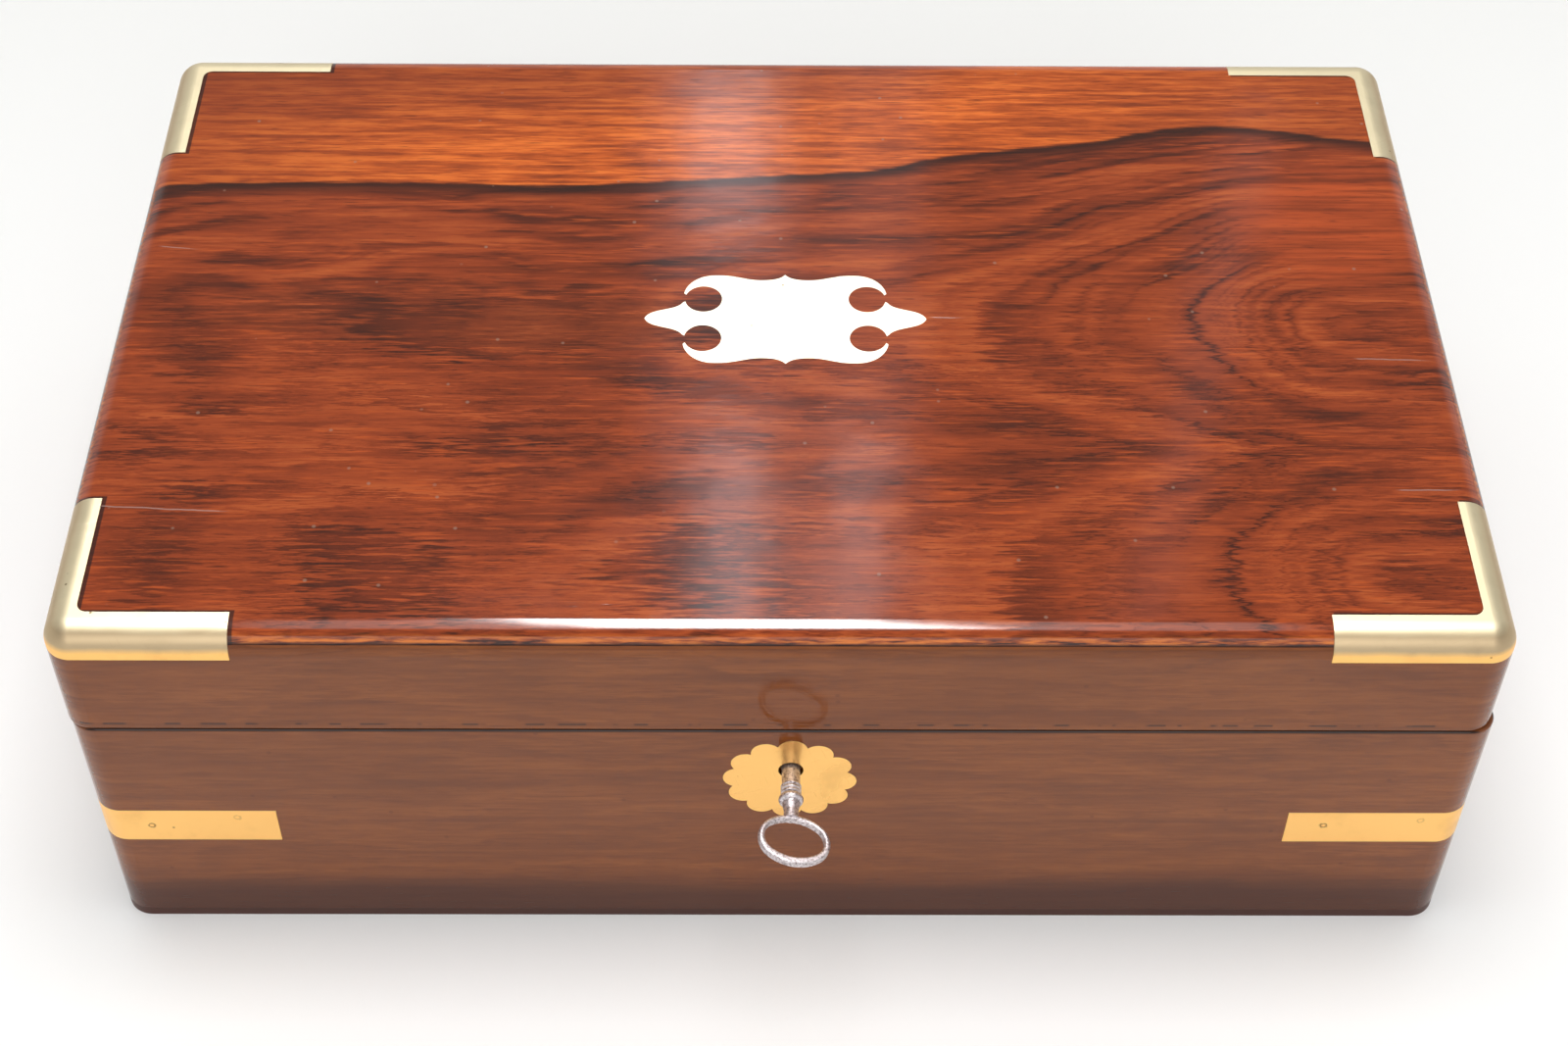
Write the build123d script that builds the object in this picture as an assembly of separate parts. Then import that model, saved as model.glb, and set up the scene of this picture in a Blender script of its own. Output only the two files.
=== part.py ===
from build123d import *
from math import atan2, cos, pi, sin, sqrt
import os

# A brass-bound writing slope, shut and locked by a turning key.  +X is to the
# right of someone facing the lock, +Y is to the back and +Z is up.  The origin
# is the centre of the underside.  Lengths are in millimetres, angles in degrees.

# ---------------------------------------------------------------- driving sizes

# Carcase
box_width = 400.0
box_depth = 252.0
box_height = 132.0
lock_side_height = 92.5
board = 12.0
bottom_board = 3.4
plan_radius = 8.0
seam_gap = 0.4
rim_round = 0.8

# Lid
lid_narrowing = 0.6
lid_shift = -0.9
top_layer = 3.7
top_edge_radius = 7.5

# Brass let into the outside
brass_sheet = 1.2
brass_fit = 0.12
strap_foot = 39.4
strap_height = 14.4
strap_leg = 53.0
corner_leg = 51.0
corner_width = 9.5
corner_drop = 9.0
corner_inside_radius = 3.0

# Escutcheon and keyhole
escutcheon_x = 1.8
escutcheon_z = 69.7
escutcheon_width = 38.2
escutcheon_height = 36.0
escutcheon_lobes = 12
lobe_radius = 4.3
escutcheon_turn = -3.0
key_x = 2.1
key_z = 74.0
keyhole_radius = 3.6
keyhole_slot = 3.4
keyhole_drop = 7.4

# Cartouche in the lid, as half lengths from its centre
cartouche_tip = 42.3
cartouche_crest = 19.3
cartouche_x = 0.5
cartouche_y = -1.2
cartouche_sheet = 1.0
bite_radius = 5.6
bite_x = 24.7
bite_y = 8.5
barb_x = 30.9
barb_y = 6.9
horn_x = 30.6
horn_y = 11.0
horn_back_x = 27.8
horn_back_y = 16.4
mouth_x = 28.4
mouth_y = 8.9
shoulder_x = 21.5
shoulder_y = 19.0
waist_x = 7.2
waist_y = 16.9

# Key
key_barrel_radius = 2.6
key_bore_play = 0.06
key_collar_radius = 3.5
key_neck_radius = 2.1
key_collar_out = 10.0
key_collar_foot = 9.0
key_collar_end = 11.6
key_waist_out = 14.0
key_rings = 3
ring_swell = 0.35
ring_length = 0.9
ring_pitch = 1.2
key_end_play = 0.4
key_bow_out = 16.0
bow_length = 16.4
bow_width = 20.6
bow_wire = 1.7
bow_thickness = 2.4
bow_round = 0.75
bow_heel = 0.7
bow_end_radius = 7.2
bow_offset = 0.8
bump_radius = 1.0
bump_aside = 2.2
bit_reach = 6.4
bit_thickness = 2.0
bit_width = 4.8
bit_inset = 1.0
ward_cut = 0.8
ward_foot = 4.8
key_bore_past = 0.6
key_rest_turn = 104.0
key_full_turn = 360.0

# Lock
lock_skin = 2.4
lock_half_width = 29.0
lock_below_key = 9.0
lock_plate = 1.2
lock_wall = 1.0
lock_fit = 0.1
selvedge = 1.6
selvedge_length = 80.0
selvedge_radius = 1.5
drill_pin_radius = 1.3
bolt_thickness = 2.2
bolt_bar = 4.0
bolt_throw = 5.5
bolt_play = 0.08
talon_half_width = 4.7
talon_play = 0.35
link_x = 14.0
link_thickness = 2.0
link_width = 5.0
link_drop = 9.2
link_hole_drop = 5.8
link_hole_width = 3.2
link_hole_height = 3.4
link_slot_play = 0.45
prong_height = 2.4
prong_length = 5.0
prong_start = 0.8
post_width = 3.0
guide_length = 9.0

# Main hinges
hinge_offset = 0.5
hinge_from_end = 82.0
hinge_length = 50.0
hinge_knuckles = 5
knuckle_radius = 2.8
knuckle_gap = 0.2
knuckle_room = 0.35
hinge_leaf = 1.4
hinge_leaf_width = 10.4
hinge_pin_radius = 1.25
hinge_pin_play = 0.05
pin_head = 0.8
pin_head_radius = 1.9

# Wood screws
screw_head_radius = 2.1
screw_shank_radius = 1.1
screw_length = 9.0
screw_head_depth = 1.1
screw_slot = 0.6
screw_slot_depth = 0.5
screw_play = 0.05
screw_stagger = 0.8

# Inside of the base
tray_room = 52.0
tray_wall = 6.0
bay_room = 48.0
bay_wall = 4.0
bay_floor = 30.0
wall_below_seam = 0.5
tray_height = 16.0
tray_below_seam = 6.0
tray_play = 0.5
trough_radius = 30.0
trough_depth = 10.5
trough_end_wall = 6.0
tray_support = 6.0

# Ink bottles
bottle_side = 42.0
bottle_height = 36.0
bottle_edge = 4.0
bottle_shoulder = 3.0
bottle_wall = 4.0
bottle_neck_radius = 11.0
bottle_neck_wall = 2.5
bottle_neck_height = 7.0
cap_radius = 14.5
cap_height = 12.5
cap_play = 0.15
cap_round = 2.0

# Writing flaps
flap_board = 5.8
flap_recess = 0.3
flap_play = 0.6
flap_border = 9.0
leather = 0.8
ledge = 6.0
flap_hinge_from_end = 138.0
flap_hinge_length = 24.0
flap_hinge_leaf = 0.9
flap_hinge_leaf_width = 6.5
flap_knuckle_radius = 1.3
flap_pin_radius = 0.5
flap_knuckles = 3

# Catches that hold the flap up in the shut lid
catch_from_end = 115.0
catch_width = 14.0
catch_length = 10.4
catch_plate_thickness = 2.0
slider_width = 7.0
slider_neck = 4.6
slider_length = 7.6
slider_lip = 0.6
slider_body = 0.8
slider_play = 0.06
slider_ease = 0.05
nick_radius = 0.6
nick_back = 2.2
catch_tongue = 3.0
catch_travel = 4.0
tongue_room = 0.3

# ------------------------------------------------------------- worked-out places

half_width = box_width / 2
half_depth = box_depth / 2
inner_half_width = half_width - board
inner_half_depth = half_depth - board
lid_width = box_width - lid_narrowing
lid_inner_half_width = lid_width / 2 - board
hinge_x = half_width - hinge_from_end
flap_hinge_x = half_width - flap_hinge_from_end
catch_x = half_width - catch_from_end

axis_y = half_depth + hinge_offset
axis_z = box_height / 2
slope = atan2(lock_side_height - axis_z, half_depth + axis_y)
rim = seam_gap / 2

# The seam plane holds the hinge axis: local x is +X, local y runs down the
# slope to the back, and local z stands square off the seam.
seam = Plane(origin=(0, axis_y, axis_z), x_dir=(1, 0, 0), z_dir=(0, sin(slope), cos(slope)))

# The front face: local x is +X, local y is +Z and local z points outwards.
front = Plane(origin=(0, -half_depth, 0), x_dir=(1, 0, 0), z_dir=(0, -1, 0))

lock_front = -half_depth + lock_skin
lock_back = -inner_half_depth
lock_foot = key_z - lock_below_key
lock_inside_back = lock_back - lock_plate
bolt_middle = (lock_front + lock_wall + lock_inside_back) / 2
talon_top = key_z + bit_reach + talon_play

tray_back = -inner_half_depth + tray_room
flap_front = tray_back + tray_wall
bay_x = inner_half_width - bay_room
bay_middle_x = inner_half_width - bay_room / 2
tray_middle_y = -inner_half_depth + tray_room / 2


def down_slope(y):
    """Distance along the seam from the hinge axis to the point above y."""
    return (y - axis_y) / cos(slope)


def seam_height(y):
    """Height of the seam plane above the underside at depth y."""
    return axis_z + (axis_y - y) * sin(slope) / cos(slope)


def span_box(x0, x1, y0, y1, z0, z1):
    """Box between two values on each axis."""
    body = Box(x1 - x0, y1 - y0, z1 - z0, align=(Align.MIN, Align.MIN, Align.MIN))
    return Pos(x0, y0, z0) * body


def slab(low, high):
    """Layer parallel to the seam, wider than the box."""
    return seam * span_box(-box_width, box_width, -2 * box_depth, board, low, high)


def on_seam(x0, x1, y0, y1, low, high):
    """Block let into the seam: x and y in the row frame, low and high off the seam."""
    return seam * span_box(x0, x1, down_slope(y0), down_slope(y1), low, high)


def both_sides(make):
    """The left and right copies of something built from a side of -1 or 1."""
    return [make(side) for side in (-1, 1)]


def save(name, *solids):
    """Write one node, as one solid or as a group of separate ones."""
    shapes = [solid for shape in solids for solid in shape.solids()]
    node = shapes[0] if len(shapes) == 1 else Compound(children=shapes)
    node.label = name
    export_step(node, f"parts/{name}.step")


# ------------------------------------------------------------------ outer forms

def prism(width, depth, radius, height):
    """Upright block with rounded corners."""
    return extrude(RectangleRounded(width, depth, radius), height)


def base_form(inset=0.0):
    """Outer shape of the base, inset evenly from its sides."""
    body = prism(box_width - 2 * inset, box_depth - 2 * inset, plan_radius - inset, box_height)
    return body - slab(-rim, box_height)


def lid_form(inset=0.0):
    """Outer shape of the lid down to the table, inset evenly from its faces."""
    body = prism(lid_width - 2 * inset, box_depth - 2 * inset, plan_radius - inset, box_height - inset)
    body = fillet(body.faces().sort_by(Axis.Z)[-1].edges(), top_edge_radius - inset)
    return Pos(lid_shift, 0, 0) * body


def rim_rounded(body, highest):
    """Ease the outer arris of the face that lies on the seam."""
    faces = body.faces().sort_by(Axis((0, 0, 0), seam.z_dir))
    rim_face = faces[-1] if highest else faces[0]
    return fillet(rim_face.outer_wire().edges(), rim_round)


def mitred_plan(length, reach, turn):
    """Plan of one carcase board, with its long edge outside at distance reach."""
    inner = length / 2 - board
    corners = [(-length / 2, -reach), (length / 2, -reach), (inner, board - reach), (-inner, board - reach)]
    return Rot(0, 0, turn) * make_face(Polyline(*corners, close=True))


def carcase_board(form, width, turn, shift, low, high):
    """One of the four boards of a box, cut out of its outer form."""
    across = turn % 180 == 0
    length, reach = (width, half_depth) if across else (box_depth, width / 2)
    plan = mitred_plan(length, reach, turn)
    return form & (Pos(shift, 0, low) * extrude(plan, high - low))


# --------------------------------------------------------------- shared hardware

def wood_screw(grow=0.0):
    """Countersunk wood screw, head up at the origin, or its hole when grown."""
    head = screw_head_radius + grow
    shank = screw_shank_radius + grow
    tip = screw_length + grow
    outline = Polyline(
        (0, 0), (head, 0), (shank, -screw_head_depth), (shank, -tip + shank), (0, -tip), close=True
    )
    body = revolve(Plane.XZ * make_face(outline), Axis.Z)
    if grow:
        return body
    return body - Box(3 * head, screw_slot, 2 * screw_slot_depth)


def cut_all(body, tools):
    """Take each of the tools out of a body."""
    for tool in tools:
        body = body - tool
    return body


# -------------------------------------------------------- brass let into the box

def strap_zone(side_x, side_y, grow=0.0):
    """Space round one upright corner of the base that its strap fills."""
    reach = strap_leg + grow
    x0, x1 = sorted((side_x * (half_width - reach), side_x * (half_width + 1)))
    y0, y1 = sorted((side_y * (half_depth - reach), side_y * (half_depth + 1)))
    return span_box(x0, x1, y0, y1, strap_foot - grow, strap_foot + strap_height + grow)


def corner_zone(side_x, side_y, grow=0.0):
    """Space that one brass corner fills over the lid's top and down its sides."""
    reach = corner_leg + grow
    width = corner_width + grow
    radius = corner_inside_radius
    outer = Pos(-reach / 2 + 1, reach / 2 - 1) * Rectangle(reach + 2, reach + 2)
    inner = Pos(-width - reach / 2, width + reach / 2) * RectangleRounded(reach, reach, radius)
    height = corner_drop + grow
    plan = extrude(outer - inner, height + 1)
    block = Pos(lid_width / 2, -half_depth, box_height - height) * plan
    if side_x < 0:
        block = mirror(block, Plane.YZ)
    if side_y > 0:
        block = mirror(block, Plane.XZ)
    return Pos(lid_shift, 0, 0) * block


corners = [(name_x, name_y, x, y) for name_x, x in (("left", -1), ("right", 1))
           for name_y, y in (("front", -1), ("back", 1))]

base_outside = base_form()
lid_outside = lid_form()
base_skin = base_outside - base_form(brass_sheet)
lid_skin = lid_outside - lid_form(brass_sheet)

strap_pockets = [base_skin & strap_zone(x, y, brass_fit) for _, _, x, y in corners]
corner_pockets = [lid_skin & corner_zone(x, y, brass_fit) for _, _, x, y in corners]


def keyhole(grow=0.0):
    """Round hole with the slot below it that lets the key's bit through."""
    slot = Pos(0, -keyhole_drop / 2) * Rectangle(keyhole_slot + 2 * grow, keyhole_drop + 2 * grow)
    return Pos(key_x, key_z) * (Circle(keyhole_radius + grow) + slot)


def escutcheon_outline(grow=0.0):
    """Scalloped oval: a ring of equal lobes round an ellipse."""
    radius_x = escutcheon_width / 2 - lobe_radius
    radius_z = escutcheon_height / 2 - lobe_radius
    outline = Ellipse(radius_x, radius_z)
    for lobe in range(escutcheon_lobes):
        turn = 2 * pi * lobe / escutcheon_lobes
        centre = Pos(radius_x * sin(turn), radius_z * cos(turn))
        outline += centre * Circle(lobe_radius + grow)
    return Pos(escutcheon_x, escutcheon_z) * Rot(0, 0, escutcheon_turn) * outline


def into_front(outline, deep, shallow=0.0):
    """Sink a front-face outline between two depths below the face."""
    return front * Pos(0, 0, -deep) * extrude(outline, deep - shallow)


def cartouche_quarter():
    """One quarter of the cartouche: finial, barb, open bite, horn and half of the crest."""
    flank = Spline((cartouche_tip, 0), (barb_x, barb_y), tangents=((-0.35, 1), (-0.6, 1)))
    mouth = Polyline((barb_x, barb_y), (mouth_x, mouth_y), (horn_x, horn_y))
    horn = ThreePointArc((horn_x, horn_y), (horn_back_x, horn_back_y), (shoulder_x, shoulder_y))
    crest = Spline(
        (shoulder_x, shoulder_y), (waist_x, waist_y), (0, cartouche_crest),
        tangents=((-1, 0.05), (-1, 0), (-0.75, 1)),
    )
    down = Line((0, cartouche_crest), (0, 0))
    foot = Line((0, 0), (cartouche_tip, 0))
    quarter = make_face(Wire([flank, *mouth.edges(), horn, crest, down, foot]))
    return quarter - Pos(bite_x, bite_y) * Circle(bite_radius)


def cartouche_outline():
    """The whole cartouche from its quarter."""
    half = cartouche_quarter() + mirror(cartouche_quarter(), Plane.YZ)
    return half + mirror(half, Plane.XZ)


cartouche_place = Pos(cartouche_x, cartouche_y, box_height - cartouche_sheet)
cartouche = cartouche_place * extrude(cartouche_outline(), cartouche_sheet)

# ------------------------------------------------------------------ main hinges

def knuckle_spans(first, length, count, gap):
    """Ends along X of every second knuckle, starting with knuckle first."""
    pitch = length / count
    return [(-length / 2 + pitch * i + gap / 2, -length / 2 + pitch * (i + 1) - gap / 2)
            for i in range(first, count, 2)]


def along_x(radius, x0, x1):
    """Round bar along X between two places."""
    return Pos((x0 + x1) / 2, 0, 0) * Rot(0, 90, 0) * Cylinder(radius, x1 - x0)


def hinge_half(first, side):
    """Leaf of a main hinge, on the seam plane and centred on its length.

    The leaf lies above the seam when side is 1 and below it when side is -1.
    """
    low, high = sorted((side * rim, side * (rim + hinge_leaf)))
    root = -(knuckle_radius + knuckle_room)
    leaf = span_box(-hinge_length / 2, hinge_length / 2, -hinge_leaf_width, root, low, high)
    for x0, x1 in knuckle_spans(first, hinge_length, hinge_knuckles, knuckle_gap):
        leaf += span_box(x0, x1, root - 1, 0, low, high)
        leaf += along_x(knuckle_radius, x0, x1)
    return leaf - along_x(hinge_pin_radius + hinge_pin_play, -hinge_length, hinge_length)


def hinge_screw_places(side):
    """Where a leaf's screws stand, three in a staggered row."""
    row = -(hinge_leaf_width + knuckle_radius) / 2
    spread = hinge_length / 2 - 2 * screw_head_radius
    return [Pos(spread * i, row - screw_stagger * (abs(i) - 0.5), side * rim) * Rot(90 + 90 * side, 0, 0)
            for i in (-1, 0, 1)]


def hinge_leaf_node(first, side, x):
    """A leaf with its screw holes, in place."""
    holes = [place * wood_screw(screw_play) for place in hinge_screw_places(side)]
    return seam * Pos(x, 0, 0) * cut_all(hinge_half(first, side), holes)


def hinge_screws(side):
    """All the screws of one leaf of both hinges."""
    return [seam * Pos(x, 0, 0) * place * wood_screw()
            for x in (-hinge_x, hinge_x) for place in hinge_screw_places(side)]


def hinge_pin(x):
    """Hinge pin with its two riveted heads."""
    half = hinge_length / 2
    pin = along_x(hinge_pin_radius, -half, half)
    pin += along_x(pin_head_radius, half, half + pin_head)
    pin += along_x(pin_head_radius, -half - pin_head, -half)
    return seam * Pos(x, 0, 0) * pin


def hinge_recess(side, x):
    """Wood taken out of a back board for a leaf, its knuckles and screws."""
    low, high = sorted((0, side * (rim + hinge_leaf)))
    half = hinge_length / 2
    end = half + pin_head + knuckle_room
    room = along_x(knuckle_radius + knuckle_room, -end, end)
    room += span_box(-half, half, -hinge_leaf_width, board, low, high)
    for place in hinge_screw_places(side):
        room += place * wood_screw(screw_play)
    return seam * Pos(x, 0, 0) * room


# ------------------------------------------------------------------- flap hinges

def flap_hinge_axis(side):
    """Place of a flap hinge's pin, in the gap between a flap and its back board."""
    gap_y = inner_half_depth - flap_play / 2
    depth = rim + flap_knuckle_radius
    return Pos(0, down_slope(gap_y), side * depth)


def flap_hinge(side, x):
    """Small butt hinge of a writing flap: two leaves and the pin."""
    half = flap_hinge_length / 2
    root = flap_knuckle_radius + knuckle_gap
    low, high = sorted((-side * flap_knuckle_radius, side * (flap_hinge_leaf - flap_knuckle_radius)))
    solids = []
    for first, direction, sink in ((0, 1, 0.0), (1, -1, side * flap_recess)):
        inner, outer = sorted((0, direction * flap_hinge_leaf_width))
        clear_in, clear_out = sorted((direction * root, direction * flap_hinge_leaf_width))
        leaf = span_box(-half, half, clear_in, clear_out, low + sink, high + sink)
        for x0, x1 in knuckle_spans(first, flap_hinge_length, flap_knuckles, knuckle_gap):
            leaf += along_x(flap_knuckle_radius, x0, x1)
            leaf += span_box(x0, x1, inner, outer, low + sink, high + sink)
        solids.append(leaf - along_x(flap_pin_radius + hinge_pin_play, -half, half))
    solids.append(along_x(flap_pin_radius, -half, half))
    return [seam * flap_hinge_axis(side) * Pos(x, 0, 0) * solid for solid in solids]


def flap_hinge_recess(side, x):
    """Wood taken out for one flap hinge."""
    half = flap_hinge_length / 2
    room = along_x(flap_knuckle_radius + knuckle_gap, -half, half)
    reach = flap_hinge_leaf_width
    low, high = sorted((-side * (flap_knuckle_radius + 1), -side * (flap_knuckle_radius - flap_hinge_leaf)))
    room += span_box(-half, half, 0, reach, low, high)
    sunk_low, sunk_high = sorted((low + side * flap_recess, high + side * flap_recess))
    room += span_box(-half, half, -reach, 0, sunk_low, sunk_high)
    return seam * flap_hinge_axis(side) * Pos(x, 0, 0) * room


# ------------------------------------------------------------------ lock and key

def selvedge_block(low, high):
    """Face strip of the lock, or the link plate above it, between two levels."""
    width = (lock_back - lock_front) / cos(slope)
    middle = down_slope((lock_back + lock_front) / 2)
    strip = extrude(RectangleRounded(selvedge_length, width, selvedge_radius), high - low)
    return seam * Pos(key_x, middle, low) * strip


link_middle_y = bolt_middle + link_hole_drop * sin(slope)


def link_zone(side, thickness, width, low, high):
    """Upright block round one link, square to the seam."""
    middle = down_slope(link_middle_y)
    block = span_box(-thickness / 2, thickness / 2, -width / 2, width / 2, low, high)
    return seam * Pos(key_x + side * link_x, middle, 0) * block


def seam_screws(side, reach):
    """Places of the two screws in the selvedge or in the link plate."""
    middle = down_slope((lock_back + lock_front) / 2)
    flip = Rot(90 + 90 * side, 0, 0)
    return [seam * Pos(key_x + i * reach, middle, side * rim) * flip for i in (-1, 1)]


seam_screw_reach = selvedge_length / 2 - 2 * screw_head_radius - 1
lock_top = slab(-rim - selvedge, box_height)


def lock_pocket():
    """Wood taken out of the front board for the lock."""
    left, right = key_x - lock_half_width, key_x + lock_half_width
    room = span_box(left, right, lock_front, lock_back + 1, lock_foot, box_height)
    room += selvedge_block(-rim - selvedge, board)
    for place in seam_screws(-1, seam_screw_reach):
        room += place * wood_screw(screw_play)
    return room


def lock_case_node():
    """Back plate, side walls, bolt guides and selvedge of the lock, in one piece."""
    left = key_x - lock_half_width + lock_fit
    right = key_x + lock_half_width - lock_fit
    foot = lock_foot + lock_fit
    cap_back = lock_front + lock_wall
    case = span_box(left, right, cap_back, lock_back, foot, box_height)
    wall = lock_wall
    case -= span_box(left + wall, right - wall, cap_back, lock_inside_back, foot + wall, box_height)
    bed = bolt_middle + bolt_thickness / 2 + bolt_play
    for side in (-1, 1):
        outer = side * (lock_half_width - lock_fit - lock_wall)
        inner = side * (lock_half_width - lock_fit - lock_wall - guide_length)
        x0, x1 = sorted((key_x + outer, key_x + inner))
        case += span_box(x0, x1, bed, lock_inside_back, bolt_foot - post_width, bolt_top)
        case += span_box(x0, x1, bolt_front, bed, bolt_foot - post_width, bolt_foot - bolt_play)
    case = case - lock_top
    case += selvedge_block(-rim - selvedge, -rim)
    slot = link_slot_play
    for side in (-1, 1):
        case -= link_zone(side, link_thickness + 2 * slot, link_width + 3 * slot, -link_drop, box_height)
    return cut_all(case, [place * wood_screw(screw_play) for place in seam_screws(-1, seam_screw_reach)])


def lock_cap_node():
    """Front cover of the lock, behind the wood, with the keyhole in it."""
    left = key_x - lock_half_width + lock_fit
    right = key_x + lock_half_width - lock_fit
    cap = span_box(left, right, lock_front, lock_front + lock_wall, lock_foot + lock_fit, box_height)
    return cap - lock_top - into_front(keyhole(), board)


def drill_pin_node():
    """Pin on the back plate that the hollow key turns on."""
    length = half_depth + lock_inside_back - brass_sheet
    return Pos(key_x, lock_inside_back, key_z) * Rot(90, 0, 0) * Pos(0, 0, length / 2) * Cylinder(
        drill_pin_radius, length)


link_eye_z = seam_height(link_middle_y) - link_hole_drop * cos(slope)
bolt_top = seam_height(link_middle_y) - link_drop * cos(slope) - 2 * link_slot_play
bolt_foot = bolt_top - bolt_bar
bolt_front = bolt_middle - bolt_thickness / 2
talon_x = -bolt_throw * (180 - key_rest_turn) / key_full_turn


def lock_bolt_node():
    """Sliding bolt: a bar with a talon for the key and a hooked prong for each link."""
    tip = link_thickness / 2 + prong_start
    left = -link_x - tip - prong_length - post_width
    bar = Pos((left + link_x) / 2, (bolt_foot + bolt_top) / 2) * Rectangle(link_x - left, bolt_bar)
    for side in (-1, 1):
        end = side * link_x - tip
        top = link_eye_z + prong_height / 2
        prong_x = end - (prong_length + post_width) / 2
        prong = Pos(prong_x, link_eye_z) * Rectangle(prong_length + post_width, prong_height)
        post_x = end - prong_length - post_width / 2
        post = Pos(post_x, (bolt_top + top) / 2) * Rectangle(post_width, top - bolt_top + bolt_bar / 2)
        bar += prong + post
    talon = Pos(talon_x, talon_top - bolt_bar) * Rectangle(2 * talon_half_width, 2 * bolt_bar)
    outline = Pos(key_x, 0) * (bar - talon)
    return into_front(outline, half_depth + bolt_middle + bolt_thickness / 2, half_depth + bolt_front)


def link_plate_node():
    """Plate let into the lid with the two eyed links that drop into the lock."""
    plate = selvedge_block(rim, rim + selvedge)
    for side in (-1, 1):
        plate += link_zone(side, link_thickness, link_width, -link_drop, rim + selvedge / 2)
        eye_low = -link_hole_drop - link_hole_height / 2
        eye_high = eye_low + link_hole_height
        plate -= link_zone(side, 2 * link_thickness, link_hole_width, eye_low, eye_high)
    return cut_all(plate, [place * wood_screw(screw_play) for place in seam_screws(1, seam_screw_reach)])


key_inner_end = -(half_depth + lock_inside_back) + key_end_play


def key_profile():
    """Half outline of the key's turned stem, with radius along x and length along y."""
    r = key_barrel_radius
    neck = key_neck_radius
    first_ring = key_collar_foot - key_rings * ring_pitch
    stem_end = key_bow_out + bow_wire / 2
    outline = [Line((0, key_inner_end), (r, key_inner_end)), Line((r, key_inner_end), (r, first_ring))]
    for ring in range(key_rings):
        start = first_ring + ring * ring_pitch
        end = start + ring_length
        outline.append(ThreePointArc((r, start), (r + ring_swell, (start + end) / 2), (r, end)))
        outline.append(Line((r, end), (r, start + ring_pitch)))
    collar_top = (key_collar_radius, key_collar_out)
    outline.append(ThreePointArc((r, key_collar_foot), collar_top, (r, key_collar_end)))
    outline.append(Line((r, key_collar_end), (neck, key_waist_out)))
    outline.append(Line((neck, key_waist_out), (neck, stem_end)))
    outline.append(Line((neck, stem_end), (0, stem_end)))
    outline.append(Line((0, stem_end), (0, key_inner_end)))
    return make_face(Wire(outline))


def oval(half_wide, half_long, end_radius):
    """Oval of four tangent arcs, wider than it is long."""
    reach = half_wide - end_radius
    flat_radius = (reach ** 2 + half_long ** 2 - end_radius ** 2) / (2 * (half_long - end_radius))
    lean = atan2(flat_radius - half_long, reach)
    meet_x = reach + end_radius * cos(lean)
    meet_y = end_radius * sin(lean)
    arcs = []
    for side in (1, -1):
        arcs.append(ThreePointArc((side * meet_x, -side * meet_y), (side * half_wide, 0),
                                  (side * meet_x, side * meet_y)))
        arcs.append(ThreePointArc((side * meet_x, side * meet_y), (0, side * half_long),
                                  (-side * meet_x, side * meet_y)))
    return make_face(Wire(arcs))


def key_bow():
    """Oval ring of the key, thicker at its heel and set a little aside, with a filed bump inside it."""
    middle = key_bow_out + bow_length / 2
    half_long = bow_length / 2
    half_wide = bow_width / 2
    ring = Pos(0, middle) * oval(half_wide, half_long, bow_end_radius)
    eye = Pos(0, middle - bow_heel / 2) * oval(
        half_wide - bow_wire, half_long - bow_wire - bow_heel / 2, bow_end_radius - bow_wire - bow_heel / 2)
    solid = fillet(extrude(Plane.YZ * (ring - eye), bow_thickness / 2, both=True).edges(), bow_round)
    bump = Pos(0, bump_aside, key_bow_out + bow_length - bow_wire) * Sphere(bump_radius)
    return Pos(0, bow_offset, 0) * (solid + bump)


def key_node():
    """Hollow key with its bit inside the lock and its bow outside."""
    stem = revolve(Plane.XZ * key_profile(), Axis.Z)
    bit_start = key_inner_end + bit_inset
    half = bit_thickness / 2
    bit = span_box(-half, half, -bit_reach, -key_neck_radius, bit_start, bit_start + bit_width)
    ward = bit_start + (bit_width - ward_cut) / 2
    bit -= span_box(-half, half, -bit_reach, -ward_foot, ward, ward + ward_cut)
    key = stem + bit + key_bow()
    bore_end = key_bore_past - brass_sheet
    bore = Cylinder(drill_pin_radius + key_bore_play, bore_end - key_inner_end)
    key -= Pos(0, 0, (key_inner_end + bore_end) / 2) * bore
    return Pos(key_x, -half_depth, key_z) * Rot(90, 0, 0) * Rot(0, 0, -key_rest_turn) * key


# ------------------------------------------------------------ flaps and catches

def upright_room(x_middle, half_span, y_front, play):
    """Space between the upright walls round a flap, less a play all round."""
    x0, x1 = x_middle - half_span + play, x_middle + half_span - play
    return span_box(x0, x1, y_front + play, inner_half_depth - play, 0, box_height)


def flap_solids(side, x_middle, half_span, y_front):
    """A writing flap's board and the leather let into it."""
    room = upright_room(x_middle, half_span, y_front, flap_play)
    x0, x1 = x_middle - half_span, x_middle + half_span
    top = rim + flap_recess
    low, high = sorted((side * top, side * (top + flap_board)))
    wood = on_seam(x0, x1, y_front - board, inner_half_depth + board, low, high) & room
    low, high = sorted((side * top, side * (top + leather)))
    edge = flap_play + flap_border
    skin = on_seam(x0 + edge, x1 - edge, y_front + edge, inner_half_depth - edge, low, high)
    return wood - skin, skin


def ledges(side, x_middle, half_span, y_front):
    """Strips under the four edges of a flap."""
    top = rim + flap_recess + flap_board
    low, high = sorted((side * top, side * (top + ledge)))
    x0, x1 = x_middle - half_span, x_middle + half_span
    y0, y1 = y_front, inner_half_depth
    strips = [(x0, x0 + ledge, y0 - board, y1 + board), (x1 - ledge, x1, y0 - board, y1 + board)]
    strips += [(x0 + ledge, x1 - ledge, y0 - board, y0 + ledge)]
    strips += [(x0 + ledge, x1 - ledge, y1 - ledge, y1 + board)]
    room = upright_room(x_middle, half_span, y_front, 0)
    return [on_seam(*strip, low, high) & room for strip in strips]


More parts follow.
